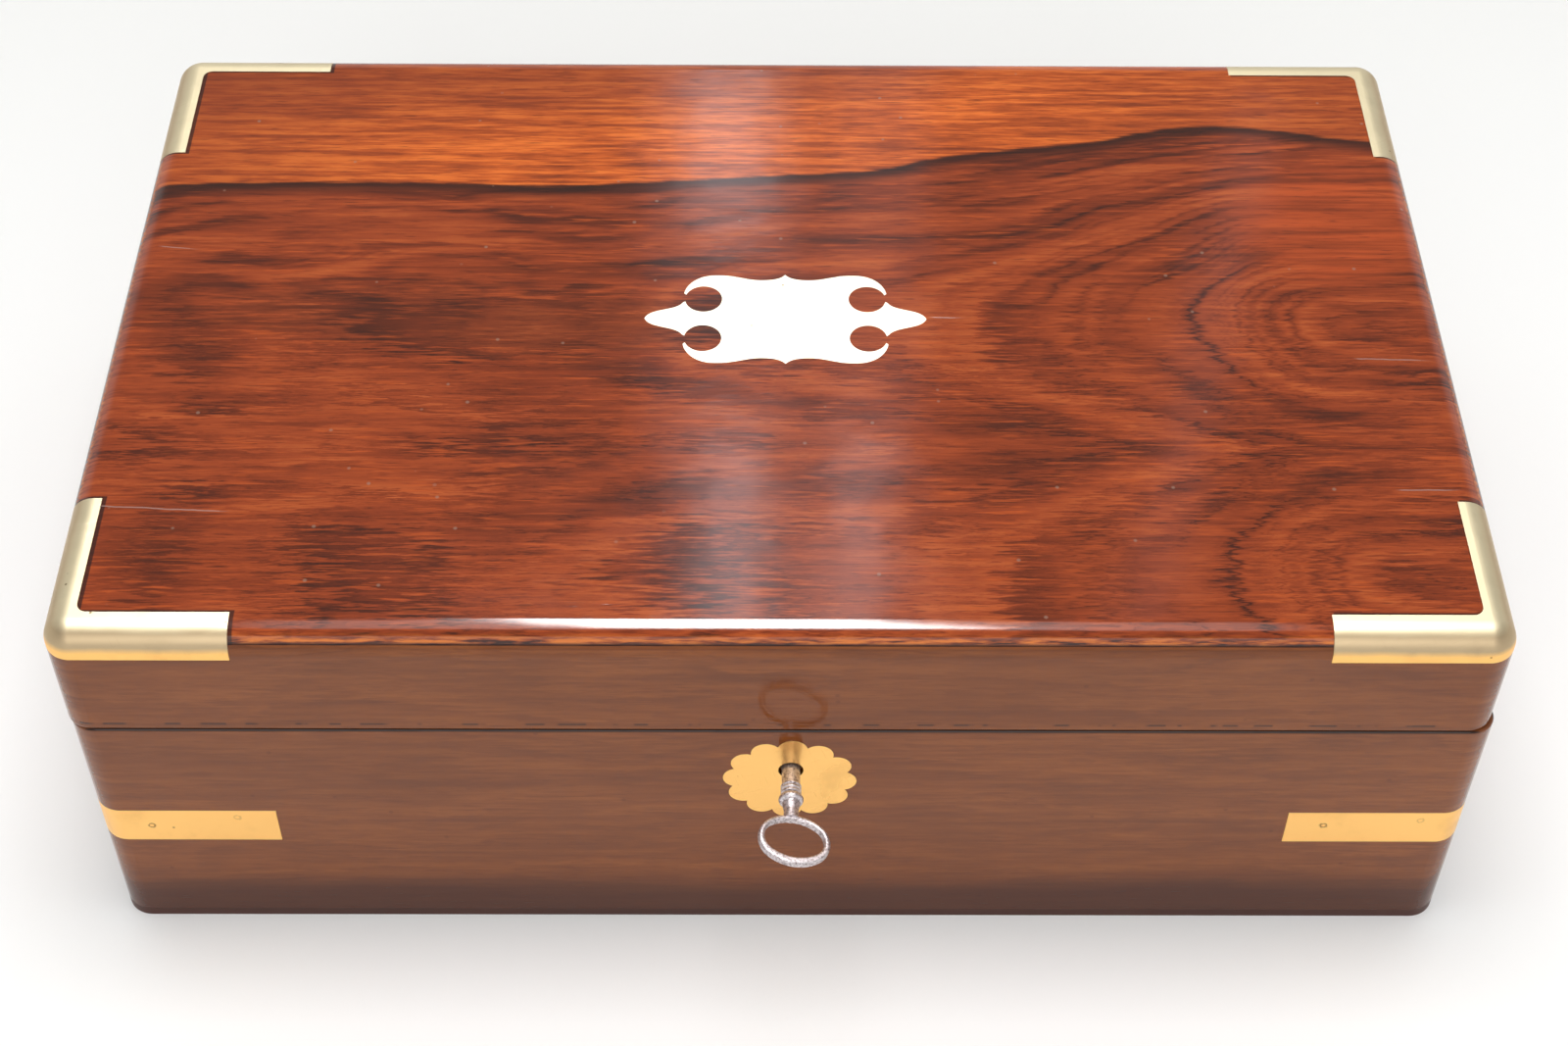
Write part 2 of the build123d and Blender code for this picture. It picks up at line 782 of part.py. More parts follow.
def catch_middle(side):
    """Where a catch lies along the lid's front rail."""
    return lid_shift + side * catch_x


def slider_body_at(middle, y_inner, length, play):
    """T-section of a catch's slider, or the channel that it runs in."""
    neck = slider_neck / 2 + play
    wide = slider_width / 2 + play
    step = rim + slider_lip
    back = step + slider_body + play
    top = 0 if play else rim + slider_ease
    body = on_seam(middle - neck, middle + neck, y_inner - length, y_inner, top, step + play)
    body += on_seam(middle - wide, middle + wide, y_inner - length, y_inner, step, back)
    return body


def catch_slider(side):
    """Sliding catch, with its tongue over the edge of the flap and a thumb nick."""
    middle = catch_middle(side)
    tip = -inner_half_depth + catch_tongue
    body = slider_body_at(middle, tip, slider_length, 0)
    nick_y = tip - catch_tongue - nick_back
    nick = Rot(0, 90, 0) * Cylinder(nick_radius, slider_neck - 1)
    return body - seam * Pos(middle, down_slope(nick_y), rim) * nick


def catch_plate(side):
    """Plate let into the lid's rail, with the channel for the slider."""
    middle = catch_middle(side)
    half = catch_width / 2
    inner = -inner_half_depth
    top = rim + catch_plate_thickness
    plate = on_seam(middle - half, middle + half, inner - catch_length, inner, rim, top)
    channel = slider_length - catch_tongue + catch_travel + tongue_room
    return plate - slider_body_at(middle, inner + catch_tongue, channel + catch_tongue, slider_play)


def catch_recess(side):
    """Wood taken out of the lid's rail for a catch plate."""
    middle = catch_middle(side)
    half = catch_width / 2
    inner = -inner_half_depth
    top = rim + catch_plate_thickness
    return on_seam(middle - half, middle + half, inner - catch_length, inner + 1, 0, top)


def tongue_recess(side):
    """Rebate in the flap's edge that a catch's tongue lies in."""
    middle = catch_middle(side)
    half = slider_width / 2 + tongue_room
    inner = -inner_half_depth
    deep = rim + slider_lip + slider_body + tongue_room
    return on_seam(middle - half, middle + half, inner, inner + catch_tongue + tongue_room, 0, deep)


# ----------------------------------------------------------------- base fittings

def pen_tray_node():
    """Loose tray with one long rounded trough for pens."""
    x1 = bay_x - bay_wall - tray_play
    y0, y1 = -inner_half_depth + tray_play, tray_back - tray_play
    top = tray_top
    body = span_box(-x1, x1, y0, y1, top - tray_height, top)
    chord = sqrt(trough_radius ** 2 - (trough_radius - trough_depth) ** 2)
    reach = x1 - trough_end_wall - chord
    axis_height = top + trough_radius - trough_depth
    trough = along_x(trough_radius, -reach, reach)
    trough += Pos(-reach, 0, 0) * Sphere(trough_radius) + Pos(reach, 0, 0) * Sphere(trough_radius)
    return body - Pos(0, tray_middle_y, axis_height) * trough


tray_top = seam_height(tray_back) - tray_below_seam


def tray_supports():
    """Strip under each end of the pen tray."""
    top = tray_top - tray_height
    inner = bay_x - bay_wall
    y0, y1 = -inner_half_depth, tray_back
    return both_sides(lambda side: span_box(*sorted((side * inner, side * (inner - tray_support))), y0, y1,
                                            top - tray_support, top))


def ink_bottle(side):
    """Square glass bottle with a round neck and a round well."""
    foot = bottom_board + bay_floor
    body = extrude(RectangleRounded(bottle_side, bottle_side, bottle_edge), bottle_height)
    body = chamfer(body.faces().sort_by(Axis.Z)[-1].edges(), bottle_shoulder)
    neck_end = bottle_height + bottle_neck_height
    body += Pos(0, 0, (bottle_height + neck_end) / 2) * Cylinder(bottle_neck_radius, bottle_neck_height)
    bore = bottle_neck_radius - bottle_neck_wall
    well = bottle_height - bottle_shoulder - 2 * bottle_wall
    body -= Pos(0, 0, bottle_wall + well / 2) * Cylinder(bottle_side / 2 - bottle_wall, well)
    body -= Pos(0, 0, (bottle_wall + neck_end) / 2) * Cylinder(bore, neck_end - bottle_wall)
    return Pos(side * bay_middle_x, tray_middle_y, foot) * body


def bottle_cap(side):
    """Turned brass cap over the bottle's neck."""
    foot = bottom_board + bay_floor + bottle_height + cap_play
    body = Cylinder(cap_radius, cap_height, align=(Align.CENTER, Align.CENTER, Align.MIN))
    body = fillet(body.faces().sort_by(Axis.Z)[-1].edges(), cap_round)
    hollow = bottle_neck_height + cap_play
    body -= Cylinder(bottle_neck_radius + cap_play, hollow, align=(Align.CENTER, Align.CENTER, Align.MIN))
    return Pos(side * bay_middle_x, tray_middle_y, foot) * body


# ------------------------------------------------------------------------- build

def build_base():
    """Everything that stays with the base."""
    outside = rim_rounded(base_outside, highest=True)
    under = span_box(-box_width, box_width, -box_depth, box_depth, -1, bottom_board)
    save("base_bottom", outside & under)

    boards = {
        "front": carcase_board(outside, box_width, 0, 0, bottom_board, box_height),
        "right": carcase_board(outside, box_width, 90, 0, bottom_board, box_height),
        "back": carcase_board(outside, box_width, 180, 0, bottom_board, box_height),
        "left": carcase_board(outside, box_width, 270, 0, bottom_board, box_height),
    }
    keyway = into_front(keyhole(brass_fit), lock_skin, 0)
    plate_room = into_front(escutcheon_outline(brass_fit), brass_sheet)
    boards["front"] = cut_all(boards["front"], [lock_pocket(), keyway, plate_room])
    recesses = both_sides(lambda side: hinge_recess(-1, side * hinge_x))
    recesses += both_sides(lambda side: flap_hinge_recess(-1, side * flap_hinge_x))
    boards["back"] = cut_all(boards["back"], recesses)
    for name, wood in boards.items():
        save(f"base_{name}", cut_all(wood, strap_pockets))

    below = slab(-rim - wall_below_seam, box_height)
    wall = span_box(-inner_half_width, inner_half_width, tray_back, flap_front, bottom_board, box_height)
    save("tray_divider", wall - below)
    for name, side in (("left", -1), ("right", 1)):
        x0, x1 = sorted((side * (bay_x - bay_wall), side * bay_x))
        divider = span_box(x0, x1, -inner_half_depth, tray_back, bottom_board, box_height)
        save(f"bay_divider_{name}", divider - below)
        x0, x1 = sorted((side * bay_x, side * inner_half_width))
        save(f"bay_floor_{name}", span_box(x0, x1, -inner_half_depth, tray_back, bottom_board,
                                           bottom_board + bay_floor))
        save(f"ink_bottle_{name}", ink_bottle(side))
        save(f"bottle_cap_{name}", bottle_cap(side))
    save("pen_tray", pen_tray_node())
    save("tray_supports", *tray_supports())

    wood, skin = flap_solids(-1, 0, inner_half_width, flap_front)
    hinges = both_sides(lambda side: flap_hinge_recess(-1, side * flap_hinge_x))
    save("base_flap", cut_all(wood, hinges))
    save("base_leather", skin)
    save("base_flap_ledges", *ledges(-1, 0, inner_half_width, flap_front))
    save("base_flap_hinges", *[solid for x in (-flap_hinge_x, flap_hinge_x) for solid in flap_hinge(-1, x)])

    for name_x, name_y, x, y in corners:
        save(f"base_strap_{name_y}_{name_x}", base_skin & strap_zone(x, y))
    save("escutcheon", into_front(escutcheon_outline() - keyhole(), brass_sheet))


def build_lock():
    """The lock, its bolt and its key."""
    save("lock_case", lock_case_node())
    save("lock_cap", lock_cap_node())
    save("drill_pin", drill_pin_node())
    save("lock_screws", *[place * wood_screw() for place in seam_screws(-1, seam_screw_reach)])
    save("lock_bolt", lock_bolt_node())
    save("key", key_node())


def build_hinges():
    """Both leaves, the pin and the screws of each main hinge."""
    for name, side in (("left", -1), ("right", 1)):
        save(f"hinge_leaf_base_{name}", hinge_leaf_node(0, -1, side * hinge_x))
        save(f"hinge_leaf_lid_{name}", hinge_leaf_node(1, 1, side * hinge_x))
        save(f"hinge_pin_{name}", hinge_pin(side * hinge_x))
    save("hinge_screws_base", *hinge_screws(-1))
    save("hinge_screws_lid", *hinge_screws(1))


def build_lid():
    """Everything that swings with the lid."""
    joint = box_height - top_layer
    outside = rim_rounded(lid_outside - slab(-box_height, rim), highest=False)
    upper = span_box(-box_width, box_width, -box_depth, box_depth, joint, box_height + 1)
    save("lid_top", cut_all(outside & upper, corner_pockets + [cartouche]))
    save("cartouche", cartouche)

    boards = {
        "front": carcase_board(outside, lid_width, 0, lid_shift, 0, joint),
        "right": carcase_board(outside, lid_width, 90, lid_shift, 0, joint),
        "back": carcase_board(outside, lid_width, 180, lid_shift, 0, joint),
        "left": carcase_board(outside, lid_width, 270, lid_shift, 0, joint),
    }
    link_room = [selvedge_block(0, rim + selvedge)]
    link_room += [place * wood_screw(screw_play) for place in seam_screws(1, seam_screw_reach)]
    boards["front"] = cut_all(boards["front"], link_room + both_sides(catch_recess))
    recesses = both_sides(lambda side: hinge_recess(1, side * hinge_x))
    recesses += both_sides(lambda side: flap_hinge_recess(1, side * flap_hinge_x))
    boards["back"] = cut_all(boards["back"], recesses)
    for name, wood in boards.items():
        save(f"lid_{name}", cut_all(wood, corner_pockets))

    for name_x, name_y, x, y in corners:
        save(f"lid_corner_{name_y}_{name_x}", lid_skin & corner_zone(x, y))
    save("link_plate", link_plate_node())
    save("link_screws", *[place * wood_screw() for place in seam_screws(1, seam_screw_reach)])

    wood, skin = flap_solids(1, lid_shift, lid_inner_half_width, -inner_half_depth)
    hinges = both_sides(lambda side: flap_hinge_recess(1, side * flap_hinge_x))
    save("lid_flap", cut_all(wood, hinges + both_sides(tongue_recess)))
    save("lid_leather", skin)
    save("lid_flap_ledges", *ledges(1, lid_shift, lid_inner_half_width, -inner_half_depth))
    save("lid_flap_hinges", *[solid for x in (-flap_hinge_x, flap_hinge_x) for solid in flap_hinge(1, x)])
    save("catch_plates", *both_sides(catch_plate))
    save("catch_left", catch_slider(-1))
    save("catch_right", catch_slider(1))


os.makedirs("parts", exist_ok=True)
build_base()
build_lock()
build_hinges()
build_lid()
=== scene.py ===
import logging
import math
from dataclasses import dataclass
from enum import Enum
from typing import Callable, Iterable, Sequence

import bmesh
import bpy
from mathutils import Matrix, Vector


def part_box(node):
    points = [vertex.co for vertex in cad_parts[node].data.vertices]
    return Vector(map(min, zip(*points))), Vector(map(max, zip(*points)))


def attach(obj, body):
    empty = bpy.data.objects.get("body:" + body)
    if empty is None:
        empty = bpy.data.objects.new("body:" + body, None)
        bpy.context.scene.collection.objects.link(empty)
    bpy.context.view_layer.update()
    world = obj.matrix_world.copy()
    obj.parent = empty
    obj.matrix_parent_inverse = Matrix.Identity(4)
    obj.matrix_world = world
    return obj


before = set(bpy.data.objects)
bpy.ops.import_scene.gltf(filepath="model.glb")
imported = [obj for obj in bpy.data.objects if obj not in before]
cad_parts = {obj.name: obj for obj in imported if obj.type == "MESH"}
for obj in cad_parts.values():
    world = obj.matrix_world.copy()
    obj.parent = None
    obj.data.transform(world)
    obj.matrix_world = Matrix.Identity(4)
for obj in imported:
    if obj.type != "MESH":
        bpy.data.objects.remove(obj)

# Dresses a brass-bound writing slope and stands it in a plain studio.  The frame
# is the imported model's: metres, +X right, +Y back, +Z up, origin at the middle
# of the underside.  Shader sizes are in millimetres, as each finish scales the
# object's coordinates before it uses them, and the fineness of a noise is in
# waves per millimetre.

log = logging.getLogger("writing_slope")

Colour = tuple[float, float, float, float]
Point = tuple[float, float, float]
Points = tuple[tuple[float, float], ...]
Stops = tuple[tuple[float, Colour], ...]
Socket = bpy.types.NodeSocket
Value = Socket | float
Outputs = bpy.types.bpy_prop_collection
MM = 0.001
HALF_LENGTH = 200.0
HALF_DEPTH = 126.0


def paint(red: int, green: int, blue: int) -> Colour:
    """Turn a display colour into the linear one that a shader wants.

    Args:
        red: red from 0 to 255.
        green: green from 0 to 255.
        blue: blue from 0 to 255.

    Returns:
        Linear colour with full alpha.
    """
    def linear(part: int) -> float:
        """Undo the display curve of one channel."""
        share = part / 255
        return share / 12.92 if share <= 0.04045 else ((share + 0.055) / 1.055) ** 2.4

    return (linear(red), linear(green), linear(blue), 1.0)


class Grain(Enum):
    """Which way the grain of a board runs."""

    ALONG_X = "x"
    ALONG_Y = "y"


class Bench:
    """Places and joins the nodes of one shader tree."""

    def __init__(self, tree: bpy.types.NodeTree) -> None:
        """Start working on a tree."""
        self.tree = tree

    def put(self, kind: str, inputs: dict[str | int, object] | None = None,
            **settings: object) -> bpy.types.Node:
        """Place a node.

        Args:
            kind: the node's type name.
            inputs: values or sockets for its inputs, by name or number.
            settings: attributes to set on the node first.

        Returns:
            The new node.
        """
        node = self.tree.nodes.new(kind)
        for name, value in settings.items():
            setattr(node, name, value)
        self.fill(node, inputs or {})
        return node

    def fill(self, node: bpy.types.Node, inputs: dict[str | int, object]) -> None:
        """Set or join several of a node's inputs."""
        for name, value in inputs.items():
            self.feed(node.inputs[name], value)

    def feed(self, target: Socket, value: object) -> None:
        """Set an input to a value, or join a socket to it."""
        if isinstance(value, bpy.types.NodeSocket):
            self.tree.links.new(value, target)
        else:
            target.default_value = value

    def math(self, operation: str, *values: Value, clamp: bool = False) -> Socket:
        """Place a maths node and return what it works out."""
        spec = dict(enumerate(values))
        return self.put("ShaderNodeMath", spec, operation=operation, use_clamp=clamp).outputs[0]

    def chain(self, operation: str, values: Sequence[Value]) -> Value:
        """Run one operation through two or more values in turn."""
        total = values[0]
        for value in values[1:]:
            total = self.math(operation, total, value)
        return total

    def add(self, *values: Value) -> Value:
        """Sum of the values."""
        return self.chain("ADD", values)

    def times(self, *values: Value) -> Value:
        """Product of the values."""
        return self.chain("MULTIPLY", values)

    def most(self, *values: Value) -> Value:
        """Greatest of the values."""
        return self.chain("MAXIMUM", values)

    def less(self, first: Value, second: Value) -> Socket:
        """First value less the second."""
        return self.math("SUBTRACT", first, second)

    def share(self, first: Value, second: Value) -> Socket:
        """First value divided by the second."""
        return self.math("DIVIDE", first, second)

    def size(self, value: Value) -> Socket:
        """The value without its sign."""
        return self.math("ABSOLUTE", value)

    def apart(self, first: Value, second: Value) -> Socket:
        """How far two values are from each other."""
        return self.size(self.less(first, second))

    def sway(self, noise: Value, reach: float) -> Socket:
        """Turn a noise about a half into a shift to either side of nothing."""
        return self.times(self.less(noise, 0.5), reach)

    def weigh(self, *parts: tuple[Value, float], base: float = 0.0) -> Socket:
        """Sum of the values, each by its own weight, and a base."""
        return self.add(*(self.times(value, weight) for value, weight in parts), base)

    def step(self, value: Value, low: float, high: float, to_low: float = 0.0,
             to_high: float = 1.0) -> Socket:
        """Ease smoothly from one level at low to another at high."""
        span = {"Value": value, "From Min": low, "From Max": high,
                "To Min": to_low, "To Max": to_high}
        return self.put("ShaderNodeMapRange", span, interpolation_type="SMOOTHSTEP").outputs[0]

    def fade(self, value: Value, low: float, high: float, level: float = 1.0) -> Socket:
        """Ease smoothly from a level down to nothing."""
        return self.step(value, low, high, level, 0.0)

    def xyz(self, x: Value = 0.0, y: Value = 0.0, z: Value = 0.0) -> Socket:
        """Vector made of three values."""
        return self.put("ShaderNodeCombineXYZ", {0: x, 1: y, 2: z}).outputs[0]

    def noise(self, vector: Socket, scale: float = 1.0, detail: float = 2.0,
              rough: float = 0.5) -> Socket:
        """Cloudy noise, evenly spread about a half."""
        spec = {"Vector": vector, "Scale": scale, "Detail": detail, "Roughness": rough}
        return self.put("ShaderNodeTexNoise", spec, noise_dimensions="3D").outputs["Fac"]

    def stretched(self, *axes: tuple[Value, float] | Value, detail: float = 2.0,
                  rough: float = 0.5) -> Socket:
        """Noise of up to three values, each alone or paired with its fineness."""
        parts = [self.times(*axis) if isinstance(axis, tuple) else axis for axis in axes]
        return self.noise(self.xyz(*parts), 1.0, detail, rough)

    def scatter(self, vector: Socket, scale: float) -> bpy.types.Node:
        """Scatter of points, with the distance to the nearest and a colour for each."""
        return self.put("ShaderNodeTexVoronoi", {"Vector": vector, "Scale": scale}, feature="F1")

    def blend(self, factor: Value, first: Colour | Socket, second: Colour | Socket,
              way: str = "MIX") -> Socket:
        """Mix two colours by a factor."""
        node = self.put("ShaderNodeMix", data_type="RGBA", blend_type=way)
        self.fill(node, {"Factor": factor, "A": first, "B": second})
        return node.outputs["Result"]

    def palette(self, value: Value, stops: Stops) -> Socket:
        """Colour from a run of colours along a value."""
        node = self.put("ShaderNodeValToRGB", {0: value})
        ramp = node.color_ramp
        while len(ramp.elements) < len(stops):
            ramp.elements.new(0.5)
        for element, (place, colour) in zip(ramp.elements, stops):
            element.position = place
            element.color = colour
        return node.outputs[0]

    def curve(self, value: Value, points: Points, up: tuple[float, float]) -> Socket:
        """Smooth curve drawn through a few chosen points.

        Args:
            value: where along the curve it is read.
            points: the points, in the curve's own units, from its start to its end.
            up: the lowest and highest value that the curve can have.

        Returns:
            The curve's value.
        """
        start, length = points[0][0], points[-1][0] - points[0][0]
        share = self.math("DIVIDE", self.less(value, start), length, clamp=True)
        node = self.put("ShaderNodeFloatCurve", {"Value": share})
        drawn = node.mapping.curves[0]
        scaled = [((x - start) / length, (y - up[0]) / (up[1] - up[0])) for x, y in points]
        drawn.points[0].location = scaled[0]
        drawn.points[1].location = scaled[-1]
        for place in scaled[1:-1]:
            drawn.points.new(*place)
        node.mapping.update()
        return self.add(self.times(node.outputs[0], up[1] - up[0]), up[0])

    def bump(self, height: Value, depth: float) -> Socket:
        """Normal of a surface with this height, with depth in metres."""
        return self.put("ShaderNodeBump", {"Height": height, "Distance": depth}).outputs[0]


@dataclass(frozen=True)
class Layer:
    """One layer of a wood's figure.

    It comes to show between its noise's low and high value.
    """

    along: float
    across: float
    low: float
    high: float
    detail: float = 2.0
    rough: float = 0.5

    def lay(self, bench: Bench, along: Value, across: Value, depth: Value) -> Socket:
        """Noise of the layer before its range is cut."""
        return bench.stretched((along, self.along), (across, self.across), depth,
                               detail=self.detail, rough=self.rough)


class Groups:
    """Node groups that several finishes use, each built once."""

    FIGURE = {
        "Fibre": Layer(0.075, 0.8, 0.30, 0.70, 4.0, 0.6),
        "Bands": Layer(0.011, 1.0, 0.34, 0.68),
        "Lines": Layer(0.022, 1.0, 0.30, 0.56, 2.0, 0.55),
        "Strands": Layer(0.016, 0.34, 0.32, 0.68, 4.0, 0.62),
        "Streaks": Layer(0.055, 0.8, 0.54, 0.70, 3.0, 0.55),
        "Pores": Layer(0.12, 1.5, 0.56, 0.74),
    }
    BOARD_DEPTH = 20.0

    def __init__(self) -> None:
        """Start with no group built."""
        self.built: dict[str, bpy.types.NodeTree] = {}

    def use(self, bench: Bench, name: str, takes: dict[str, float],
            fill: Callable[[Bench, Outputs], dict[str, Socket]],
            values: dict[str, Value]) -> Outputs:
        """Place a group in a finish, and build it first if it isn't there yet.

        Args:
            bench: the finish's bench.
            name: the group's name.
            takes: the group's inputs and their usual values.
            fill: makes the group's nodes and returns a socket for each output.
            values: the finish's own values for the inputs.

        Returns:
            The placed group's outputs.
        """
        if name not in self.built:
            tree = bpy.data.node_groups.new(name, "ShaderNodeTree")
            kind = "NodeSocketFloat"
            for title, usual in takes.items():
                socket = tree.interface.new_socket(title, in_out="INPUT", socket_type=kind)
                socket.default_value = usual
            inner = Bench(tree)
            results = fill(inner, inner.put("NodeGroupInput").outputs)
            for title in results:
                tree.interface.new_socket(title, in_out="OUTPUT", socket_type=kind)
            inner.put("NodeGroupOutput", results)
            self.built[name] = tree
        return bench.put("ShaderNodeGroup", values, node_tree=self.built[name]).outputs

    def figure(self, bench: Bench, **values: Value) -> Outputs:
        """Grain of a wood: wide bands, thin lines, strands, streaks, fibres and pores."""
        takes = {"Along": 0.0, "Across": 0.0, "Rings": 0.0, "Depth": 0.0, "Band": 9.0,
                 "Line": 2.2, "Jag": 9.0}

        def fill(inner: Bench, inputs: Outputs) -> dict[str, Socket]:
            """Lay stretched noise along the rings and along the grain."""
            along, across = inputs["Along"], inputs["Across"]
            depth = inner.share(inputs["Depth"], self.BOARD_DEPTH)
            fibre = self.FIGURE["Fibre"].lay(inner, along, across, depth)
            rings = inner.add(inputs["Rings"], inner.times(inner.less(fibre, 0.5), inputs["Jag"]))
            places = {
                "Bands": (inner.share(rings, inputs["Band"]), depth),
                "Lines": (inner.share(rings, inputs["Line"]), depth),
                "Strands": (across, depth),
                "Streaks": (across, 7.0),
                "Pores": (across, 3.0),
            }
            raw = {title: self.FIGURE[title].lay(inner, along, *place)
                   for title, place in places.items()}
            raw["Fibre"] = fibre
            return {title: inner.step(raw[title], layer.low, layer.high)
                    for title, layer in self.FIGURE.items()}

        return self.use(bench, "wood figure", takes, fill, values)

    def hairline(self, bench: Bench, **values: Value) -> Socket:
        """Thin crack or scratch from one place to another along the board."""
        takes = {"Along": 0.0, "Across": 0.0, "Start": 0.0, "End": 1.0, "Height": 0.0,
                 "Slope": 0.0, "Width": 0.2}
        wander_fineness, wander_reach = 0.12, 0.9
        start_taper, end_taper = 3.0, 8.0

        def fill(inner: Bench, inputs: Outputs) -> dict[str, Socket]:
            """Measure how far a point is off a slightly wandering line."""
            run = inner.less(inputs["Along"], inputs["Start"])
            wander = inner.stretched((run, wander_fineness), inputs["Height"])
            level = inner.add(inputs["Height"], inner.times(run, inputs["Slope"]),
                              inner.times(wander, wander_reach))
            near = inner.share(inner.apart(inputs["Across"], level), inputs["Width"])
            begins = inner.step(run, 0.0, start_taper)
            ends = inner.step(inner.less(inputs["End"], inputs["Along"]), 0.0, end_taper)
            return {"Mask": inner.times(inner.fade(near, 0.5, 1.0), begins, ends)}

        return self.use(bench, "hairline", takes, fill, values)["Mask"]

    def handling(self, bench: Bench, **values: Value) -> Outputs:
        """Wear from use: fine scratches, small specks and cloudy smears."""
        takes = {"X": 0.0, "Y": 0.0, "Z": 0.0, "Fineness": 1.0}
        long_way, short_way = 0.05, 2.6
        speck_fineness, cloud_fineness = 0.22, 0.06

        def fill(inner: Bench, inputs: Outputs) -> dict[str, Socket]:
            """Cross two sets of stretched noise and scatter some points."""
            x, y, z = (inner.times(inputs[axis], inputs["Fineness"]) for axis in "XYZ")
            leaning = inner.weigh((x, 1.0), (y, 0.45), (z, 0.3))
            upright = inner.weigh((y, 1.0), (z, 1.0), (x, -0.5))
            first = inner.stretched((leaning, long_way), (upright, short_way))
            second = inner.stretched((leaning, 2.9), (upright, 0.07), 5.0)
            scratch = inner.most(inner.step(first, 0.66, 0.72), inner.step(second, 0.68, 0.74))
            place = inner.xyz(x, y, z)
            points = inner.scatter(place, speck_fineness).outputs
            lot = inner.put("ShaderNodeSeparateColor", {0: points["Color"]}).outputs[0]
            speck = inner.times(inner.fade(points["Distance"], 0.05, 0.12),
                                inner.step(lot, 0.80, 0.84))
            return {"Scratches": scratch, "Specks": speck,
                    "Clouds": inner.noise(place, cloud_fineness, 4.0, 0.6)}

        return self.use(bench, "handling", takes, fill, values)


GROUPS = Groups()


@dataclass(frozen=True)
class Spot:
    """A point on an object in millimetres, whole and by its parts."""

    whole: Socket
    x: Socket
    y: Socket
    z: Socket

    def wear(self, bench: Bench, fineness: float = 1.0) -> Outputs:
        """Handling marks at this point."""
        return GROUPS.handling(bench, X=self.x, Y=self.y, Z=self.z, Fineness=fineness)


@dataclass(frozen=True)
class Finish:
    """A surface finish; each kind paints its own material.  Its relief is in metres."""

    name: str
    relief: float = 0.02 * MM

    def material(self) -> bpy.types.Material:
        """Make the finish's material, or find the one made before."""
        title = f"{self.name}_finish"
        found = bpy.data.materials.get(title)
        if found:
            return found
        material = bpy.data.materials.new(title)
        material.use_nodes = True
        material.node_tree.nodes.clear()
        bench = Bench(material.node_tree)
        looks = self.paint(bench)
        looks["Normal"] = bench.bump(looks.pop("Height", 0.0), self.relief)
        shader = bench.put("ShaderNodeBsdfPrincipled", looks)
        bench.put("ShaderNodeOutputMaterial", {"Surface": shader.outputs[0]})
        return material

    def paint(self, bench: Bench) -> dict[str, Value]:
        """Place the finish's nodes and return the shader's inputs, with Height for Normal."""
        raise NotImplementedError

    def spot(self, bench: Bench) -> Spot:
        """Point on the object in millimetres."""
        source = bench.put("ShaderNodeTexCoord").outputs["Object"]
        whole = bench.put("ShaderNodeVectorMath", {0: source, "Scale": 1 / MM},
                          operation="SCALE").outputs[0]
        return Spot(whole, *bench.put("ShaderNodeSeparateXYZ", {0: whole}).outputs)


@dataclass(frozen=True)
class Region:
    """Region of a board about its middle, in millimetres, which may lean towards the front."""

    x: float
    y: float
    half_x: float
    half_y: float
    lean: float = 0.0

    def reach(self, bench: Bench, at: Spot, *ragged: Socket) -> Socket:
        """How far out in its oval a point is: 0 in the middle and about 1 at the rim."""
        x = bench.share(bench.less(at.x, self.x), self.half_x)
        y = bench.share(bench.add(at.y, -self.y, bench.times(at.x, self.lean)), self.half_y)
        return bench.add(bench.times(x, x), bench.times(y, y), *ragged)

    def inset(self, bench: Bench, at: Spot) -> Socket:
        """How far inside its rectangle a point is."""
        side = bench.less(self.half_x, bench.apart(at.x, self.x))
        end = bench.less(self.half_y, bench.apart(at.y, self.y))
        return bench.math("MINIMUM", side, end)


@dataclass(frozen=True)
class Crack:
    """Hairline crack of the veneer, in millimetres."""

    start: float
    end: float
    height: float
    slope: float
    width: float

    def mask(self, bench: Bench, at: Spot) -> Socket:
        """Where the crack shows."""
        return GROUPS.hairline(bench, Along=at.x, Across=at.y, Start=self.start, End=self.end,
                               Height=self.height, Slope=self.slope, Width=self.width)


